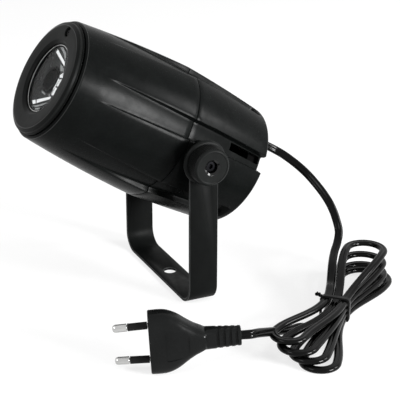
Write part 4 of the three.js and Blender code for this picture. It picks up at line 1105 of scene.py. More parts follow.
def build_lens():
    finishes = (clear_lens(), bare_metal("polished_bead", (0.42, 0.425, 0.42), 0.25))
    glass = add_mesh("clear_lens_disc", *disc(LENS_RADIUS, *LENS, 96, rounding=0.2))
    give(glass, *finishes)
    bead = add_mesh("lens_bead", *turned([(radius, LENS[1] + height) for radius, height in BEAD_OUTLINE], 120))
    give(bead, *finishes, number=1)
    lens = joined("clear_lens", [glass, bead], finishes=finishes)
    lens.data.transform(head_matrix())
    put_on(lens, "head", "lens_clear", "front_lens")


def facet_mesh(corners):
    """One facet standing on the cup's slope, with its front drawn in a little."""
    middle = [sum(point[axis] for point in corners) / len(corners) for axis in (0, 1)]
    rings = []
    for lift, grown in FACET_LAYERS:
        ring = []
        for x, y in corners:
            x, y = middle[0] + (x - middle[0]) * grown, middle[1] + (y - middle[1]) * grown
            beyond = max(0.0, math.hypot(x, y) - CUP_SLOPE[0])
            ring.append((x, y, REFLECTOR_RIM - CUP_FLOOR + CUP_RISE * beyond / CUP_SLOPE[1] + lift))
        rings.append(ring)
    return add_mesh("facet", *skin(rings))


def build_reflector():
    inner = OPENING_RADIUS - REFLECTOR_WALL
    outline = [(radius, REFLECTOR_RIM - depth) for radius, depth in CUP_OUTLINE]
    outline.extend([
        (OPENING_RADIUS, REFLECTOR_FOOT), (inner, REFLECTOR_FOOT), (inner, REFLECTOR_RIM - 1.8),
        (REFLECTOR_HOLE, REFLECTOR_RIM - 2.6),
    ])
    # The cup is painted near black and its facets bright or dull: a painted reflection, which does not change with the
    # view as a real one would
    finishes = (
        soft_rubber("cup_black", (0.006, 0.0063, 0.0063), 0.3, 0.05),
        mirror_coat(),
        bare_metal("dull_mirror", (0.26, 0.265, 0.265), 0.3),
    )
    cup = add_mesh("faceted_reflector", *turned(softened(outline, 0.12, 2), 120), sharp=25)
    give(cup, *finishes)
    facets = []
    for number, corners in FACETS:
        facets.append(facet_mesh(corners))
        give(facets[-1], *finishes, number=number)
    reflector = joined("faceted_reflector", [cup, *facets], 25, finishes)
    reflector.data.transform(head_matrix())
    put_on(reflector, "head", "reflector_chrome", "reflector")


def build_light_tube():
    bore = TUBE_RADIUS - TUBE_WALL
    profile = [
        (bore, TUBE_FOOT, 0.1), (TUBE_RADIUS, TUBE_FOOT, 0.1), (TUBE_RADIUS, TUBE_FRONT, 0.3), (bore, TUBE_FRONT, 0.3),
    ]
    tube = add_mesh("light_tube_skin", *lathed(profile, 64), head_matrix())
    give(tube, soft_rubber("tube_plastic", (0.002, 0.002, 0.002), 0.6, 0.03))
    put_on(tube, "head", "tube_plastic", "light_tube")


# Clamp knobs and the pivot


def build_knob(name, place):
    sizes = bpy.context.scene.pinspot_knobs
    height = sizes.rib_height / MM
    core = KNOB_RADIUS - height
    shoulder = KNOB_INNER + 2.0
    floor = KNOB_FACE - 0.25
    profile = [
        (KNOB_BORE, KNOB_INNER, 0.1), (KNOB_FLANGE, KNOB_INNER, 0.3), (KNOB_FLANGE, KNOB_INNER + 1.0, 0.5),
        (11.1, shoulder, 0.4), (core, shoulder, 0.3), (core, KNOB_FACE - 0.9, 0.5), (core - 0.9, KNOB_FACE, 0.4),
        (8.5, KNOB_FACE, 0.12), (8.25, floor, 0.12), (4.3, floor, 0.05), (4.2, KNOB_FACE - 0.35, 0.05),
        (KNOB_BORE, KNOB_FACE - 1.04, 0.1), (KNOB_BORE, KNOB_BORE_END, 0.1),
    ]
    knob = add_mesh(f"knob_{name}_skin", *lathed(profile, 128), place, sharp=30)
    inward = place.inverted()

    def in_recess(centre):
        local = inward @ centre
        return off_axis(local) < RECESS_SHADE_AND_GLOSS and local.z > KNOB_FACE - 3

    # The recess takes the darker, glossier finish: painted shade in it
    give(knob, trim_plastic(), recess_polish(), number=1, chosen=in_recess)
    put_on(knob, f"knob_{name}", "trim_plastic", f"knob_{name}")

    half = sizes.rib_width / MM / 2
    section = [(-0.4, -half), (height * 0.55, -half), (height, 0), (height * 0.55, half), (-0.4, half)]
    low, high = KNOB_INNER + 1.9, KNOB_FACE - 0.75
    rings = [
        [(x, y, low) for x, y in section],
        [(x, y, high - 0.5) for x, y in section],
        [(min(x, 0.1) if x > 0 else x, y * 0.6, high) for x, y in section],
    ]
    ribs = add_mesh(f"knob_{name}_ribs", *skin(rings))
    copied(ribs, sizes.ribs, core, 0, trim_plastic(), place, sharp=50)
    put_on(ribs, f"knob_{name}", "trim_plastic")


def build_pivot(name, place):
    profile = [(0, STUD_START, 0), (STUD_RADIUS, STUD_START, 0.3), (STUD_RADIUS, STUD_END, 0.35), (0, STUD_END, 0)]
    stud = add_mesh(f"stud_{name}_skin", *lathed(profile, 48, closed=False))
    turns = [math.radians(60 * k) for k in range(6)]
    hexagon = [(SOCKET_RADIUS * math.cos(turn), SOCKET_RADIUS * math.sin(turn)) for turn in turns]
    carved(stud, [add_mesh("socket", *prism(hexagon, STUD_END - SOCKET_DEPTH, STUD_END + 1))])
    stud.data.transform(place)
    give(stud, black_steel())
    put_on(stud, "head", "stud_steel", f"pivot_stud_{name}")
    washer = add_mesh(f"washer_{name}_skin", *collar(KNOB_BORE, BOSS_RADIUS, *WASHER, 0.25, 64), place)
    give(washer, soft_rubber("washer_rubber"))
    put_on(washer, "head", "washer_rubber", f"friction_washer_{name}")


# Bracket


def bend(x, radius, start, sweep, steps=14):
    """Points round one bend of the strap, in X and Z."""
    turns = [start + sweep * k / steps for k in range(steps + 1)]
    return [(x + radius * math.cos(turn), BEND_RADIUS + radius * math.sin(turn)) for turn in turns]


def bracket_outline():
    """Closed outline of the strap in X and Z: up the left leg's outside, round, and back inside."""
    half = SPAN / 2
    top = PIVOT[2] + STRAP_WIDTH / 2
    centre = half - BEND_RADIUS
    inner = BEND_RADIUS - STRAP_THICKNESS
    quarter = math.pi / 2
    return [
        (-half, top),
        *bend(-centre, BEND_RADIUS, math.pi, quarter),
        *bend(centre, BEND_RADIUS, -quarter, quarter),
        (half, top),
        (half - STRAP_THICKNESS, top),
        *bend(centre, inner, 0, -quarter),
        *bend(-centre, inner, -quarter, -quarter),
        (-half + STRAP_THICKNESS, top),
    ]


def build_bracket():
    sizes = bpy.context.scene.pinspot_bracket
    half = STRAP_WIDTH / 2
    outline = bracket_outline()
    rings = [[(x, y, z) for x, z in outline] for y in (-half, half)]
    strap = add_mesh("bracket_strap", *skin(rings))
    side = [(-half, -2), (half, -2), (half, PIVOT[2])]
    for k in range(1, 49):
        turn = math.pi * k / 48
        side.append((half * math.cos(turn), PIVOT[2] + half * math.sin(turn)))
    rings = [[(x, y, z) for y, z in side] for x in (-SPAN, SPAN)]
    carved(strap, kept=[add_mesh("rounding", *skin(rings))])
    cuts = [
        add_mesh(
            "pivot_bore", *disc(STUD_RADIUS + GAP, -SPAN, SPAN, 40),
            Matrix.Translation((0, 0, PIVOT[2])) @ along_pivot(1),
        ),
        add_mesh("base_bore", *disc(BASE_HOLE_RADIUS, -2, STRAP_THICKNESS + 2, 48)),
    ]
    carved(strap, cuts)
    strap.data.transform(Matrix.Scale(MM, 4) @ Matrix.Translation((0, PIVOT[1], 0)))
    tidied(strap)
    step = strap.modifiers.new("edges", "BEVEL")
    step.width = sizes.edge_round
    step.segments = 2
    step.limit_method = "ANGLE"
    step.angle_limit = math.radians(50)
    # The bevelled edges take the lighter finish: partly wear, partly a painted highlight
    step.material = 1
    strap.data.materials.append(strap_paint())
    strap.data.materials.append(strap_edge())
    baked(strap, 40)
    put_on(strap, "bracket", "strap_paint", "bracket")


# Rear boot


def build_boot():
    seat = PLATE[0] - GAP
    clip = PLATE[1] + GAP
    profile = [(0, BOOT_TIP, 0), (2.9, BOOT_TIP, 0.2), (BOOT_TIP_RADIUS, BOOT_TIP + 0.4, 0.2)]
    for low in BOOT_GROOVES:
        for past, depth in ((0, 0), (0.25, BOOT_GROOVE_DEPTH), (1.35, BOOT_GROOVE_DEPTH), (1.6, 0)):
            station = low + past
            radius = BOOT_TIP_RADIUS + BOOT_WIDENING * (station - BOOT_TIP) / BOOT_TAPER - depth
            profile.append((radius, station, 0.15))
    profile.extend([
        (4.6, -40.5, 0.8), (6.2, -39.3, 0.4), (6.2, seat, 0.2), (4.3, seat, 0.1), (4.3, clip, 0.1), (5.5, clip, 0.2),
        (5.1, clip + 2, 0.2), (0, clip + 2, 0),
    ])
    boot = add_mesh("cord_boot_skin", *lathed(profile, 48, 3, closed=False))
    boot.data.transform(head_matrix() @ Matrix.Translation((0, BOOT_ASIDE, 0)))
    give(boot, soft_rubber())
    put_on(boot, "head", "boot_rubber", "cord_boot")


# Lead, loops and tail


def height_at(heights, layer):
    below = min(math.floor(layer), HANK_LOOPS - 2)
    return heights[below] + (heights[below + 1] - heights[below]) * (layer - below)


def hank_local(turns):
    """A point of the tied loops in their own frame, with +X towards the near end."""
    whole = math.floor(turns)
    nearest = math.floor(turns + 0.5)
    far_low, far_high, far_reach, far_turn = FAR_BENDS[max(whole, 0)]
    near_low, _, near_reach, near_turn = NEAR_BENDS[min(whole + 1, HANK_LOOPS)]
    near_high = NEAR_BENDS[min(max(whole + 1, 1), HANK_LOOPS)][1]
    far_radius = (far_high - far_low) / 2
    near_radius = (near_high - near_low) / 2
    left = (turns - whole) * sum(STRETCH_STEPS)
    stretch = 0
    while stretch < 4 and left > STRETCH_STEPS[stretch]:
        left -= STRETCH_STEPS[stretch]
        stretch += 1
    share = left / STRETCH_STEPS[stretch]
    ends = (0, -far_reach, -far_reach, near_reach, near_reach, 0)
    x = ends[stretch] + (ends[stretch + 1] - ends[stretch]) * share
    is_far = x < 0
    reach = far_reach if is_far else near_reach
    turn = far_turn if is_far else near_turn
    drawn = (1 + math.cos(math.pi * x / reach)) / 2
    side_low, side_high = (far_low, far_high) if is_far else (near_low, near_high)
    waist_low = WAIST_OUTER if nearest <= 0 or nearest >= HANK_LOOPS else WAIST_INNER
    if stretch in (0, 4):
        y = side_low + (waist_low - side_low) * drawn
        rise = min(max((1 - x / CLIMB_REACH) / 2, 0), 1)
        climbing = nearest - 1 + rise * rise * (3 - 2 * rise)
    else:
        y = side_high + (WAIST_FAR - side_high) * drawn
        climbing = whole
    if stretch == 1:
        x = -far_reach - far_radius * math.sin(math.pi * share)
        y = (far_low + far_high) / 2 - far_radius * math.cos(math.pi * share)
    elif stretch == 3:
        x = near_reach + near_radius * math.sin(math.pi * share)
        y = (near_low + near_high) / 2 + near_radius * math.cos(math.pi * share)
    layer = min(max(climbing, 0), HANK_LOOPS - 1)
    end_height = height_at(FAR_HEIGHTS if is_far else NEAR_HEIGHTS, layer)
    z = end_height + (height_at(WAIST_HEIGHTS, layer) - end_height) * drawn
    swing = math.radians(turn) * ((1 - drawn) if abs(x) < reach else 1)
    return Matrix.Rotation(swing, 3, "Z") @ Vector((x, y, z))


def hank_point(turns):
    laid = Matrix.Rotation(math.radians(HANK_TURN), 3, "Z") @ hank_local(turns)
    return laid + Vector((*HANK_AT, 0))


def smooth_route(points, spacing):
    """Points along a centripetal curve through the given ones, about one spacing apart."""
    points = [Vector(point) for point in points]
    before = points[0] * 2 - points[1]
    after = points[-1] * 2 - points[-2]
    padded = [before, *points, after]
    route = [points[0]]
    for i in range(1, len(padded) - 2):
        p0, p1, p2, p3 = padded[i - 1 : i + 3]
        t1 = (p1 - p0).length ** 0.5
        t2 = t1 + (p2 - p1).length ** 0.5
        t3 = t2 + (p3 - p2).length ** 0.5
        steps = max(1, round((p2 - p1).length / spacing))
        for k in range(1, steps + 1):
            t = t1 + (t2 - t1) * k / steps
            a1 = p0 * ((t1 - t) / t1) + p1 * (t / t1)
            a2 = p1 * ((t2 - t) / (t2 - t1)) + p2 * ((t - t1) / (t2 - t1))
            a3 = p2 * ((t3 - t) / (t3 - t2)) + p3 * ((t - t2) / (t3 - t2))
            b1 = a1 * ((t2 - t) / t2) + a2 * (t / t2)
            b2 = a2 * ((t3 - t) / (t3 - t1)) + a3 * ((t - t1) / (t3 - t1))
            route.append(b1 * ((t2 - t) / (t2 - t1)) + b2 * ((t - t1) / (t2 - t1)))
    return route


def cord_route():
    """Centres of the cord from the boot to the plug, in millimetres, with the places where its parts meet."""
    spacing = bpy.context.scene.pinspot_lead.spacing / MM
    shift = Vector((0, PIVOT[1], 0))
    to_lamp = head_matrix()
    boot_tip = to_lamp @ Vector((0, BOOT_ASIDE, BOOT_TIP)) / MM - shift
    boot_way = (to_lamp.to_3x3() @ Vector((0, 0, -1))).normalized()
    first = -1 / sum(STRETCH_STEPS)
    last = HANK_LOOPS + 1 / sum(STRETCH_STEPS)
    count = round((last - first) * sum(STRETCH_STEPS) * HANK_STEP / spacing / 2)
    hank = [hank_point(last + (first - last) * i / count) for i in range(count + 1)]
    out_way = (hank[0] - hank_point(last - 0.001)).normalized()
    in_way = (hank[-1] - hank_point(first + 0.001)).normalized()
    out_way.z = 0
    in_way.z = 0
    to_plug = plug_matrix()
    plug_way = (to_plug.to_3x3() @ Vector((1, 0, 0))).normalized()
    relief_end = to_plug @ Vector((-(PLUG_BODY_LENGTH + RELIEF_LENGTH), 0, 0)) / MM - shift
    start, end = hank[0], hank[-1]
    lead = [boot_tip, boot_tip + boot_way * CORD_WIDTH, *LEAD_ROUTE, start + out_way * CORD_WIDTH, start]
    lead = smooth_route(lead, spacing)
    tail = [end, end + in_way * CORD_WIDTH, *reversed(TAIL_ROUTE), relief_end - plug_way * CORD_WIDTH, relief_end]
    tail = smooth_route(tail, spacing)
    inside_boot = boot_tip - boot_way * 3
    inside_plug = relief_end + plug_way * 3
    route = [inside_boot, *lead, *hank[1:-1], *tail, inside_plug]
    return [point + shift for point in route], len(lead), len(lead) + count


def cord_section():
    """Outline of two cores side by side, with a groove between them."""
    points = []
    reach = math.acos(-CORE_ASIDE / CORE_RADIUS)
    for side in (1, -1):
        for k in range(12):
            turn = reach * (2 * k / 12 - 1)
            points.append((side * (CORE_ASIDE + CORE_RADIUS * math.cos(turn)), side * CORE_RADIUS * math.sin(turn)))
    return points


def build_lead():
    """The cord's wide side lies level in the hank, is carried on to both ends and twists round to the plug's."""
    route, lead_end, hank_end = cord_route()
    count = len(route)
    ways = [(route[min(i + 1, count - 1)] - route[max(i - 1, 0)]).normalized() for i in range(count)]
    flat = [None] * count
    for i in range(lead_end, hank_end + 1):
        flat[i] = ways[i].cross(Vector((0, 0, 1))).normalized()
    for i in range(lead_end - 1, -1, -1):
        flat[i] = (flat[i + 1] - ways[i] * flat[i + 1].dot(ways[i])).normalized()
    for i in range(hank_end + 1, count):
        flat[i] = (flat[i - 1] - ways[i] * flat[i - 1].dot(ways[i])).normalized()
    upright = plug_matrix().to_3x3() @ Vector((0, 0, 1))
    lacking = flat[-1].angle(upright)
    if flat[-1].cross(upright).dot(ways[-1]) < 0:
        lacking = -lacking
    for i in range(hank_end + 1, count):
        share = (i - hank_end) / (count - 1 - hank_end)
        flat[i] = Matrix.Rotation(lacking * share, 3, ways[i]) @ flat[i]
    section = cord_section()
    rings = []
    for i, centre in enumerate(route):
        tall = flat[i].cross(ways[i])
        rings.append([centre + flat[i] * wide + tall * high for wide, high in section])
    cord = add_mesh("mains_cord", *skin(rings), Matrix.Scale(MM, 4), sharp=60)
    give(cord, cord_sheath())
    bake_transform(cord)
    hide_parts("power_cord_lead", "cord_hank", "power_cord_tail")


# Plug


def eased(shares, values, share):
    """Value at a share along a list of shares, on a smooth curve through the values."""
    i = 0
    while i < len(shares) - 2 and share > shares[i + 1]:
        i += 1
    span = shares[i + 1] - shares[i]
    t = (share - shares[i]) / span
    slopes = []
    for j in (i, i + 1):
        if j in (0, len(shares) - 1):
            k = min(j, len(shares) - 2)
            slopes.append((values[k + 1] - values[k]) / (shares[k + 1] - shares[k]))
        else:
            slopes.append((values[j + 1] - values[j - 1]) / (shares[j + 1] - shares[j - 1]))
    a, b = values[i], values[i + 1]
    return (
        a * (2 * t**3 - 3 * t**2 + 1)
        + slopes[0] * span * (t**3 - 2 * t**2 + t)
        + b * (3 * t**2 - 2 * t**3)
        + slopes[1] * span * (t**3 - t**2)
    )


def plug_ring(along, half_height, half_thickness, squareness, sides=56):
    ring = []
    for k in range(sides):
        turn = 2 * math.pi * (k + 0.5) / sides
        across, high = math.cos(turn), math.sin(turn)
        reach = (abs(across) ** squareness + abs(high) ** squareness) ** (-1 / squareness)
        ring.append((-along, half_thickness * across * reach, half_height * high * reach))
    return ring


def pin_frame(side):
    lean = Matrix.Rotation(math.radians(side * PIN_LEAN), 4, "Y")
    return Matrix.Translation((0, 0, side * PIN_PITCH / 2)) @ lean @ Matrix.Rotation(math.pi / 2, 4, "Y")


def plug_rings():
    """Rings of the plug from its face to the end of its strain relief."""
    rings = []
    for k in range(6):
        turn = math.pi / 2 * k / 5
        inset = PLUG_EDGE * (1 - math.sin(turn))
        along = PLUG_EDGE * (1 - math.cos(turn))
        rings.append(plug_ring(along, PLUG_HALF_HEIGHT - inset, PLUG_HALF_THICKNESS - inset, PLUG_SQUARENESS))
    for k in range(1, 37):
        share = k / 36
        slim = min(1, max(0, (share - 0.3) / 0.7))
        thickness = PLUG_HALF_THICKNESS + (PLUG_NECK - PLUG_HALF_THICKNESS) * slim * slim
        height = PLUG_HALF_HEIGHT * eased(PLUG_ALONG, PLUG_HEIGHTS, share)
        rings.append(plug_ring(share * PLUG_BODY_LENGTH, height, thickness, PLUG_SQUARENESS - 0.4 * slim))
    pitch = (RELIEF_LENGTH - RELIEF_PLAIN) / RELIEF_SLOTS
    stations = [(0.8, 0), (RELIEF_PLAIN - 0.1, 0)]
    for k in range(RELIEF_SLOTS):
        start = RELIEF_PLAIN + k * pitch
        stations.extend([(start, 0), (start + 0.12, 0.8), (start + 1.35, 0.8), (start + 1.47, 0)])
    stations.append((RELIEF_LENGTH - RELIEF_EDGE, 0))
    for past, depth in stations:
        radius = RELIEF_ROOT + (RELIEF_TIP - RELIEF_ROOT) * past / RELIEF_LENGTH
        rings.append(plug_ring(PLUG_BODY_LENGTH + past, radius, radius * RELIEF_FLATNESS - depth, 3))
    flat = RELIEF_TIP * RELIEF_FLATNESS - RELIEF_EDGE
    rings.append(plug_ring(PLUG_BODY_LENGTH + RELIEF_LENGTH, RELIEF_TIP - RELIEF_EDGE, flat, 3))
    return rings


def build_plug():
    place = plug_matrix()
    body = add_mesh("plug_shell", *skin(plug_rings()))
    panel = softened(PANEL_OUTLINE, 1.5, 4)
    cuts, pins, sleeves = [], [], []
    for side in (1, -1):
        cuts.append(add_mesh("socket", *disc(PIN_CORE + GAP, PIN_ROOT - 1, 3, 32), pin_frame(side)))
        cuts.append(add_mesh("panel", *prism(panel, PANEL_FLOOR, 9), Matrix.Rotation(-side * math.pi / 2, 4, "X")))
    carved(body, cuts, sharp=32)
    body.data.transform(place)
    give(body, soft_rubber("plug_black", (0.004, 0.0043, 0.0043), 0.28, 0.1))
    put_on(body, "bracket", "plug_black", "plug_body")

    shoulder = SLEEVE_LENGTH + GAP
    profile = [
        (0, PIN_ROOT, 0), (PIN_CORE, PIN_ROOT, 0.1), (PIN_CORE, shoulder, 0.1), (PIN_RADIUS, shoulder, 0.2),
        (PIN_RADIUS, PIN_LENGTH - 1.3, 0.8), (1.5, PIN_LENGTH - 0.3, 0.5), (0, PIN_LENGTH, 0),
    ]
    sleeve = collar(PIN_CORE + GAP, SLEEVE_RADIUS, GAP, SLEEVE_LENGTH, 0.12, 40, 3)
    for side in (1, -1):
        pins.append(add_mesh("pin", *lathed(profile, 40, closed=False), place @ pin_frame(side)))
        sleeves.append(add_mesh("sleeve", *sleeve, place @ pin_frame(side)))
    pair = joined("plug_pins", pins)
    give(pair, bare_metal("nickel", (0.5, 0.5, 0.495), 0.2))
    put_on(pair, "bracket", "pin_nickel", "plug_pin_upper", "plug_pin_lower")
    pair = joined("plug_sleeves", sleeves)
    give(pair, soft_rubber("sleeve_black", (0.006, 0.006, 0.006), 0.35))
    put_on(pair, "bracket", "sleeve_black", "plug_sleeve_upper", "plug_sleeve_lower")


# Tie


def hull_of(points):
    """Outline round points in a plane, anticlockwise."""
    points = sorted(set(points))
    chains = []
    for ordered in (points, points[::-1]):
        chain = []
        for point in ordered:
            while len(chain) > 1:
                (ax, ay), (bx, by) = chain[-2:]
                if (bx - ax) * (point[1] - ay) - (by - ay) * (point[0] - ax) > 0:
                    break
                chain.pop()
            chain.append(point)
        chains.append(chain[:-1])
    return chains[0] + chains[1]


def waist_outline(beyond):
    """Outline round the strands at the waist, a distance outside them."""
    points = []
    for half_turn in range(2 * HANK_LOOPS + 1):
        _, across, high = hank_local(half_turn / 2)
        for side in (1, -1):
            for k in range(16):
                turn = 2 * math.pi * k / 16
                reach = CORE_RADIUS + beyond
                y = across + side * CORE_ASIDE + reach * math.cos(turn)
                points.append((round(y, 4), round(max(high + reach * math.sin(turn), 0.06), 4)))
    return hull_of(points)


def even_points(outline, count):
    """The outline again with evenly spaced points, the first one above its middle."""
    corners = [Vector(point) for point in outline]
    edges = [(a, b) for a, b in zip(corners, corners[1:] + corners[:1])]
    whole = sum((b - a).length for a, b in edges)
    evened = []
    for k in range(count):
        left = whole * k / count
        for a, b in edges:
            if left <= (b - a).length:
                evened.append(tuple(a + (b - a) * (left / (b - a).length)))
                break
            left -= (b - a).length
    top = max(range(count), key=lambda k: evened[k][1])
    return evened[top:] + evened[:top]


def build_tie():
    half = TIE_WIDTH / 2
    outer = even_points(waist_outline(TIE_PLAY + TIE_THICKNESS), TIE_POINTS)
    inner = even_points(waist_outline(TIE_PLAY), TIE_POINTS)
    rings = []
    for loop, x in ((outer, -half + 0.2), (outer, half - 0.2), (inner, half), (inner, -half)):
        rings.append([(x, y, z) for y, z in loop])
    band = add_mesh("cord_tie_band", *skin(rings, wrapped=True))
    height = max(z for _, z in outer)
    start = min(y for y, z in outer if z > height - 2.5) + 0.6
    section = softened(rectangle(-1.1, -0.6, 1.1, 0.6), 0.3, 2)
    rings = []
    for k in range(TWIST_STEPS + 1):
        share = k / TWIST_STEPS
        turn = math.radians(TWIST_TURN * share)
        swell = 1.25 if share < 0.9 else 0.8
        ring = []
        for wide, high in section:
            x = (wide * math.cos(turn) - high * math.sin(turn)) * swell
            z = (wide * math.sin(turn) + high * math.cos(turn)) * swell
            ring.append((x, start - TIE_TAIL * share, height - 1.0 + 0.9 * math.sin(2.4 * share) + z * 0.8))
        rings.append(ring)
    carved(band, joins=[add_mesh("twist", *skin(rings))])
    band.data.transform(hank_matrix())
    give(band, soft_rubber("tie_black", (0.0025, 0.0025, 0.0025), 0.32, 0.12))
    put_on(band, "bracket", "tie_black", "cord_tie")


# Parts inside the housing, kept from the frame


def build_inside():
    brass = bare_metal("cut_brass", (0.72, 0.53, 0.23), 0.3)
    blue = surface("wire_blue", (0.02, 0.07, 0.3), 0.4, shine=0.4, grain=0.0004)
    finishes = {
        "pivot_insert_right": brass,
        "pivot_insert_left": brass,
        "led_board": surface("board_white", (0.72, 0.72, 0.69), 0.4, shift=0.05, grain=0.0003),
        "led_emitter": surface("emitter_dome", (0.75, 0.62, 0.2), 0.3, shift=0.08, grain=0.0002),
        "heat_sink": bare_metal("cast_aluminium", (0.6, 0.61, 0.62), 0.42, grain=0.0006),
        "sink_screw_right": zinc_steel(),
        "sink_screw_left": zinc_steel(),
        "driver_board": surface("board_green", (0.012, 0.09, 0.035), 0.38, shift=0.15, grain=0.0004),
        "driver_transformer": surface("core_tape", (0.13, 0.07, 0.03), 0.5, shine=0.4, shift=0.25, grain=0.0005),
        "driver_capacitor": surface("can_sleeve", (0.02, 0.021, 0.03), 0.32, shift=0.1, grain=0.0005),
        "led_lead": blue,
        "mains_wire_live": surface("wire_brown", (0.13, 0.045, 0.012), 0.4, shine=0.4, grain=0.0004),
        "mains_wire_neutral": blue,
    }
    for name, material in finishes.items():
        give(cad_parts[name], material)


# Camera, floor and lamps


def two_ways(tree, lighting, seen):
    """Mixes two shaders: the first lights the part, and the camera, mirrors and glass see the second."""
    path = tree.nodes.new("ShaderNodeLightPath")
    total = path.outputs["Is Camera Ray"]
    for name in ("Is Glossy Ray", "Is Transmission Ray"):
        add = tree.nodes.new("ShaderNodeMath")
        add.operation = "MAXIMUM"
        tree.links.new(total, add.inputs[0])
        tree.links.new(path.outputs[name], add.inputs[1])
        total = add.outputs[0]
    mix = tree.nodes.new("ShaderNodeMixShader")
    for socket, output in enumerate((total, lighting, seen)):
        tree.links.new(output, mix.inputs[socket])
    return mix.outputs[0]


def build_camera():
    camera = bpy.data.cameras.new("camera")
    camera.lens = bpy.context.scene.pinspot_stage.lens
    camera.sensor_width = SENSOR_WIDTH
    view = bpy.data.objects.new("camera", camera)
    azimuth, elevation, roll = (math.radians(angle) for angle in (CAMERA_AZIMUTH, CAMERA_ELEVATION, CAMERA_ROLL))
    level = math.cos(elevation)
    back = Vector((math.sin(azimuth) * level, -math.cos(azimuth) * level, math.sin(elevation)))
    right = Vector((math.cos(azimuth), math.sin(azimuth), 0))
    up = back.cross(right)
    across = right * math.cos(roll) + up * math.sin(roll)
    upward = up * math.cos(roll) - right * math.sin(roll)
    turn = Matrix((across, upward, back)).transposed().to_4x4()
    view.matrix_world = Matrix.Translation(CAMERA_PLACE) @ turn
    bpy.context.scene.collection.objects.link(view)
    bpy.context.scene.camera = view
    bpy.context.scene.view_settings.view_transform = "Standard"


def build_floor():
    corners = [(x, y, 0) for x, y in rectangle(-FLOOR_REACH, -FLOOR_REACH, FLOOR_REACH, FLOOR_REACH)]
    floor = add_mesh("floor", corners, [(0, 1, 2, 3)])
    material = bpy.data.materials.new("floor")
    material.use_nodes = True
    tree = material.node_tree
    shader = tree.nodes["Principled BSDF"]
    shader.inputs["Base Color"].default_value = (FLOOR_GREY, FLOOR_GREY, FLOOR_GREY, 1)
    shader.inputs["Roughness"].default_value = 1
    shader.inputs["Specular IOR Level"].default_value = 0.0
    glow = node_of(tree, "ShaderNodeEmission", Color=(1, 1, 1, 1), Strength=FLOOR_GLOW)
    shadowed = node_of(tree, "ShaderNodeBsdfDiffuse", Color=(FLOOR_SHADOW, FLOOR_SHADOW, FLOOR_SHADOW, 1))
    both = tree.nodes.new("ShaderNodeAddShader")
    tree.links.new(glow.outputs[0], both.inputs[0])
    tree.links.new(shadowed.outputs[0], both.inputs[1])
    mixed = two_ways(tree, shader.outputs[0], both.outputs[0])
    tree.links.new(mixed, tree.nodes["Material Output"].inputs["Surface"])
    give(floor, material)


def build_lights():
    sizes = bpy.context.scene.pinspot_stage
    for name, place, size in LAMPS:
        lamp = bpy.data.lights.new(name, "AREA")
        lamp.energy = getattr(sizes, name)
        lamp.size = size
        holder = bpy.data.objects.new(name, lamp)
        holder.location = place
        holder.rotation_euler = (Vector(LAMPS_AIM) - Vector(place)).to_track_quat("-Z", "Y").to_euler()
        bpy.context.scene.collection.objects.link(holder)
    world = bpy.data.worlds.new("world")
    world.use_nodes = True
    tree = world.node_tree
    dim = tree.nodes["Background"]
    dim.inputs["Color"].default_value = (1, 1, 1, 1)
    dim.inputs["Strength"].default_value = sizes.surround
    white = node_of(tree, "ShaderNodeBackground", Color=(1, 1, 1, 1), Strength=1.0)
    mixed = two_ways(tree, dim.outputs[0], white.outputs[0])
    tree.links.new(mixed, tree.nodes["World Output"].inputs["Surface"])
    bpy.context.scene.world = world


# One operator for each piece or group of like pieces


class PINSPOT_OT_stage(bpy.types.Operator):
    """Sets up the camera, floor and lamps"""

    bl_idname = "pinspot.stage"
    bl_label = "Stage"

    def execute(self, context):
        build_camera()
        build_floor()
        build_lights()
        return {"FINISHED"}


class PINSPOT_OT_plug(bpy.types.Operator):
    """Builds the mains plug with its pins and sleeves"""

    bl_idname = "pinspot.plug"
    bl_label = "Plug"

    def execute(self, context):
        build_plug()
        return {"FINISHED"}


class PINSPOT_OT_tie(bpy.types.Operator):
    """Builds the twisted tie round the loops"""

    bl_idname = "pinspot.tie"
    bl_label = "Tie"

    def execute(self, context):
        build_tie()
        return {"FINISHED"}


class PINSPOT_OT_lead(bpy.types.Operator):
    """Builds the mains lead from the boot to the plug"""

    bl_idname = "pinspot.lead"
    bl_label = "Lead"

    def execute(self, context):
        build_lead()
        return {"FINISHED"}


class PINSPOT_OT_front_shell(bpy.types.Operator):
    """Builds the front half of the housing"""

    bl_idname = "pinspot.front_shell"
    bl_label = "Front shell"

    def execute(self, context):
        build_front_shell()
        return {"FINISHED"}


class PINSPOT_OT_rear_shell(bpy.types.Operator):
    """Builds the rear half of the housing with its windows and notches"""

    bl_idname = "pinspot.rear_shell"
    bl_label = "Rear shell"

    def execute(self, context):
        build_rear_shell()
        return {"FINISHED"}


class PINSPOT_OT_rear_plate(bpy.types.Operator):
    """Builds the plate in the rear end of the housing"""

    bl_idname = "pinspot.rear_plate"
    bl_label = "Rear plate"

    def execute(self, context):
        build_rear_plate()
        return {"FINISHED"}


class PINSPOT_OT_screws(bpy.types.Operator):
    """Builds the screws of the rear plate and of the front ring"""

    bl_idname = "pinspot.screws"
    bl_label = "Screws"

    def execute(self, context):
        build_screws()
        return {"FINISHED"}


class PINSPOT_OT_front_ring(bpy.types.Operator):
    """Builds the ring round the front opening"""

    bl_idname = "pinspot.front_ring"
    bl_label = "Front ring"

    def execute(self, context):
        build_front_ring()
        return {"FINISHED"}


class PINSPOT_OT_optics(bpy.types.Operator):
    """Builds the lens, the faceted reflector and the light tube"""

    bl_idname = "pinspot.optics"
    bl_label = "Optics"

    def execute(self, context):
        build_lens()
        build_reflector()
        build_light_tube()
        return {"FINISHED"}


class PINSPOT_OT_knobs(bpy.types.Operator):
    """Builds the clamp knobs, their studs and the friction washers"""

    bl_idname = "pinspot.knobs"
    bl_label = "Clamp knobs"

    def execute(self, context):
        for name, side in (("right", 1), ("left", -1)):
            place = head_matrix() @ along_pivot(side)
            build_knob(name, place)
            build_pivot(name, place)
        return {"FINISHED"}


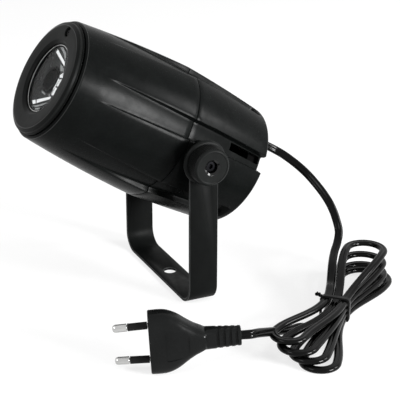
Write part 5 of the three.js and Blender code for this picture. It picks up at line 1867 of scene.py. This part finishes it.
class PINSPOT_OT_bracket(bpy.types.Operator):
    """Builds the bent strap"""

    bl_idname = "pinspot.bracket"
    bl_label = "Bracket"

    def execute(self, context):
        build_bracket()
        return {"FINISHED"}


class PINSPOT_OT_boot(bpy.types.Operator):
    """Builds the moulded boot that the lead leaves through"""

    bl_idname = "pinspot.boot"
    bl_label = "Boot"

    def execute(self, context):
        build_boot()
        return {"FINISHED"}


class PINSPOT_OT_inside(bpy.types.Operator):
    """Finishes the parts inside the housing"""

    bl_idname = "pinspot.inside"
    bl_label = "Inside parts"

    def execute(self, context):
        build_inside()
        return {"FINISHED"}


OPERATORS = (
    PINSPOT_OT_stage,
    PINSPOT_OT_plug,
    PINSPOT_OT_tie,
    PINSPOT_OT_lead,
    PINSPOT_OT_front_shell,
    PINSPOT_OT_rear_shell,
    PINSPOT_OT_rear_plate,
    PINSPOT_OT_screws,
    PINSPOT_OT_front_ring,
    PINSPOT_OT_optics,
    PINSPOT_OT_knobs,
    PINSPOT_OT_bracket,
    PINSPOT_OT_boot,
    PINSPOT_OT_inside,
)


class PINSPOT_PT_build(bpy.types.Panel):
    """Lists the sizes of the light and the operators that build it"""

    bl_idname = "PINSPOT_PT_build"
    bl_label = "Pinspot Light"
    bl_space_type = "VIEW_3D"
    bl_region_type = "UI"
    bl_category = "Pinspot"

    def draw(self, context):
        for title, held, group in GROUPS:
            box = self.layout.box()
            box.label(text=title)
            for name in group.__annotations__:
                box.prop(getattr(context.scene, held), name)
        column = self.layout.column(align=True)
        for operator in OPERATORS:
            column.operator(operator.bl_idname)


GROUPS = (
    ("Housing", "pinspot_housing", PinspotHousing),
    ("Clamp knobs", "pinspot_knobs", PinspotKnobs),
    ("Bracket", "pinspot_bracket", PinspotBracket),
    ("Lead", "pinspot_lead", PinspotLead),
    ("Stage", "pinspot_stage", PinspotStage),
)


def register():
    for _, held, group in GROUPS:
        bpy.utils.register_class(group)
        setattr(bpy.types.Scene, held, bpy.props.PointerProperty(type=group))
    for kind in (*OPERATORS, PINSPOT_PT_build):
        bpy.utils.register_class(kind)


def unregister():
    for kind in reversed((*OPERATORS, PINSPOT_PT_build)):
        bpy.utils.unregister_class(kind)
    for _, held, group in reversed(GROUPS):
        delattr(bpy.types.Scene, held)
        bpy.utils.unregister_class(group)


def main():
    register()
    bpy.ops.pinspot.stage()
    bpy.ops.pinspot.plug()
    bpy.ops.pinspot.tie()
    bpy.ops.pinspot.lead()
    bpy.ops.pinspot.front_shell()
    bpy.ops.pinspot.rear_shell()
    bpy.ops.pinspot.rear_plate()
    bpy.ops.pinspot.screws()
    bpy.ops.pinspot.front_ring()
    bpy.ops.pinspot.optics()
    bpy.ops.pinspot.knobs()
    bpy.ops.pinspot.bracket()
    bpy.ops.pinspot.boot()
    bpy.ops.pinspot.inside()


if __name__ == "__main__":
    main()
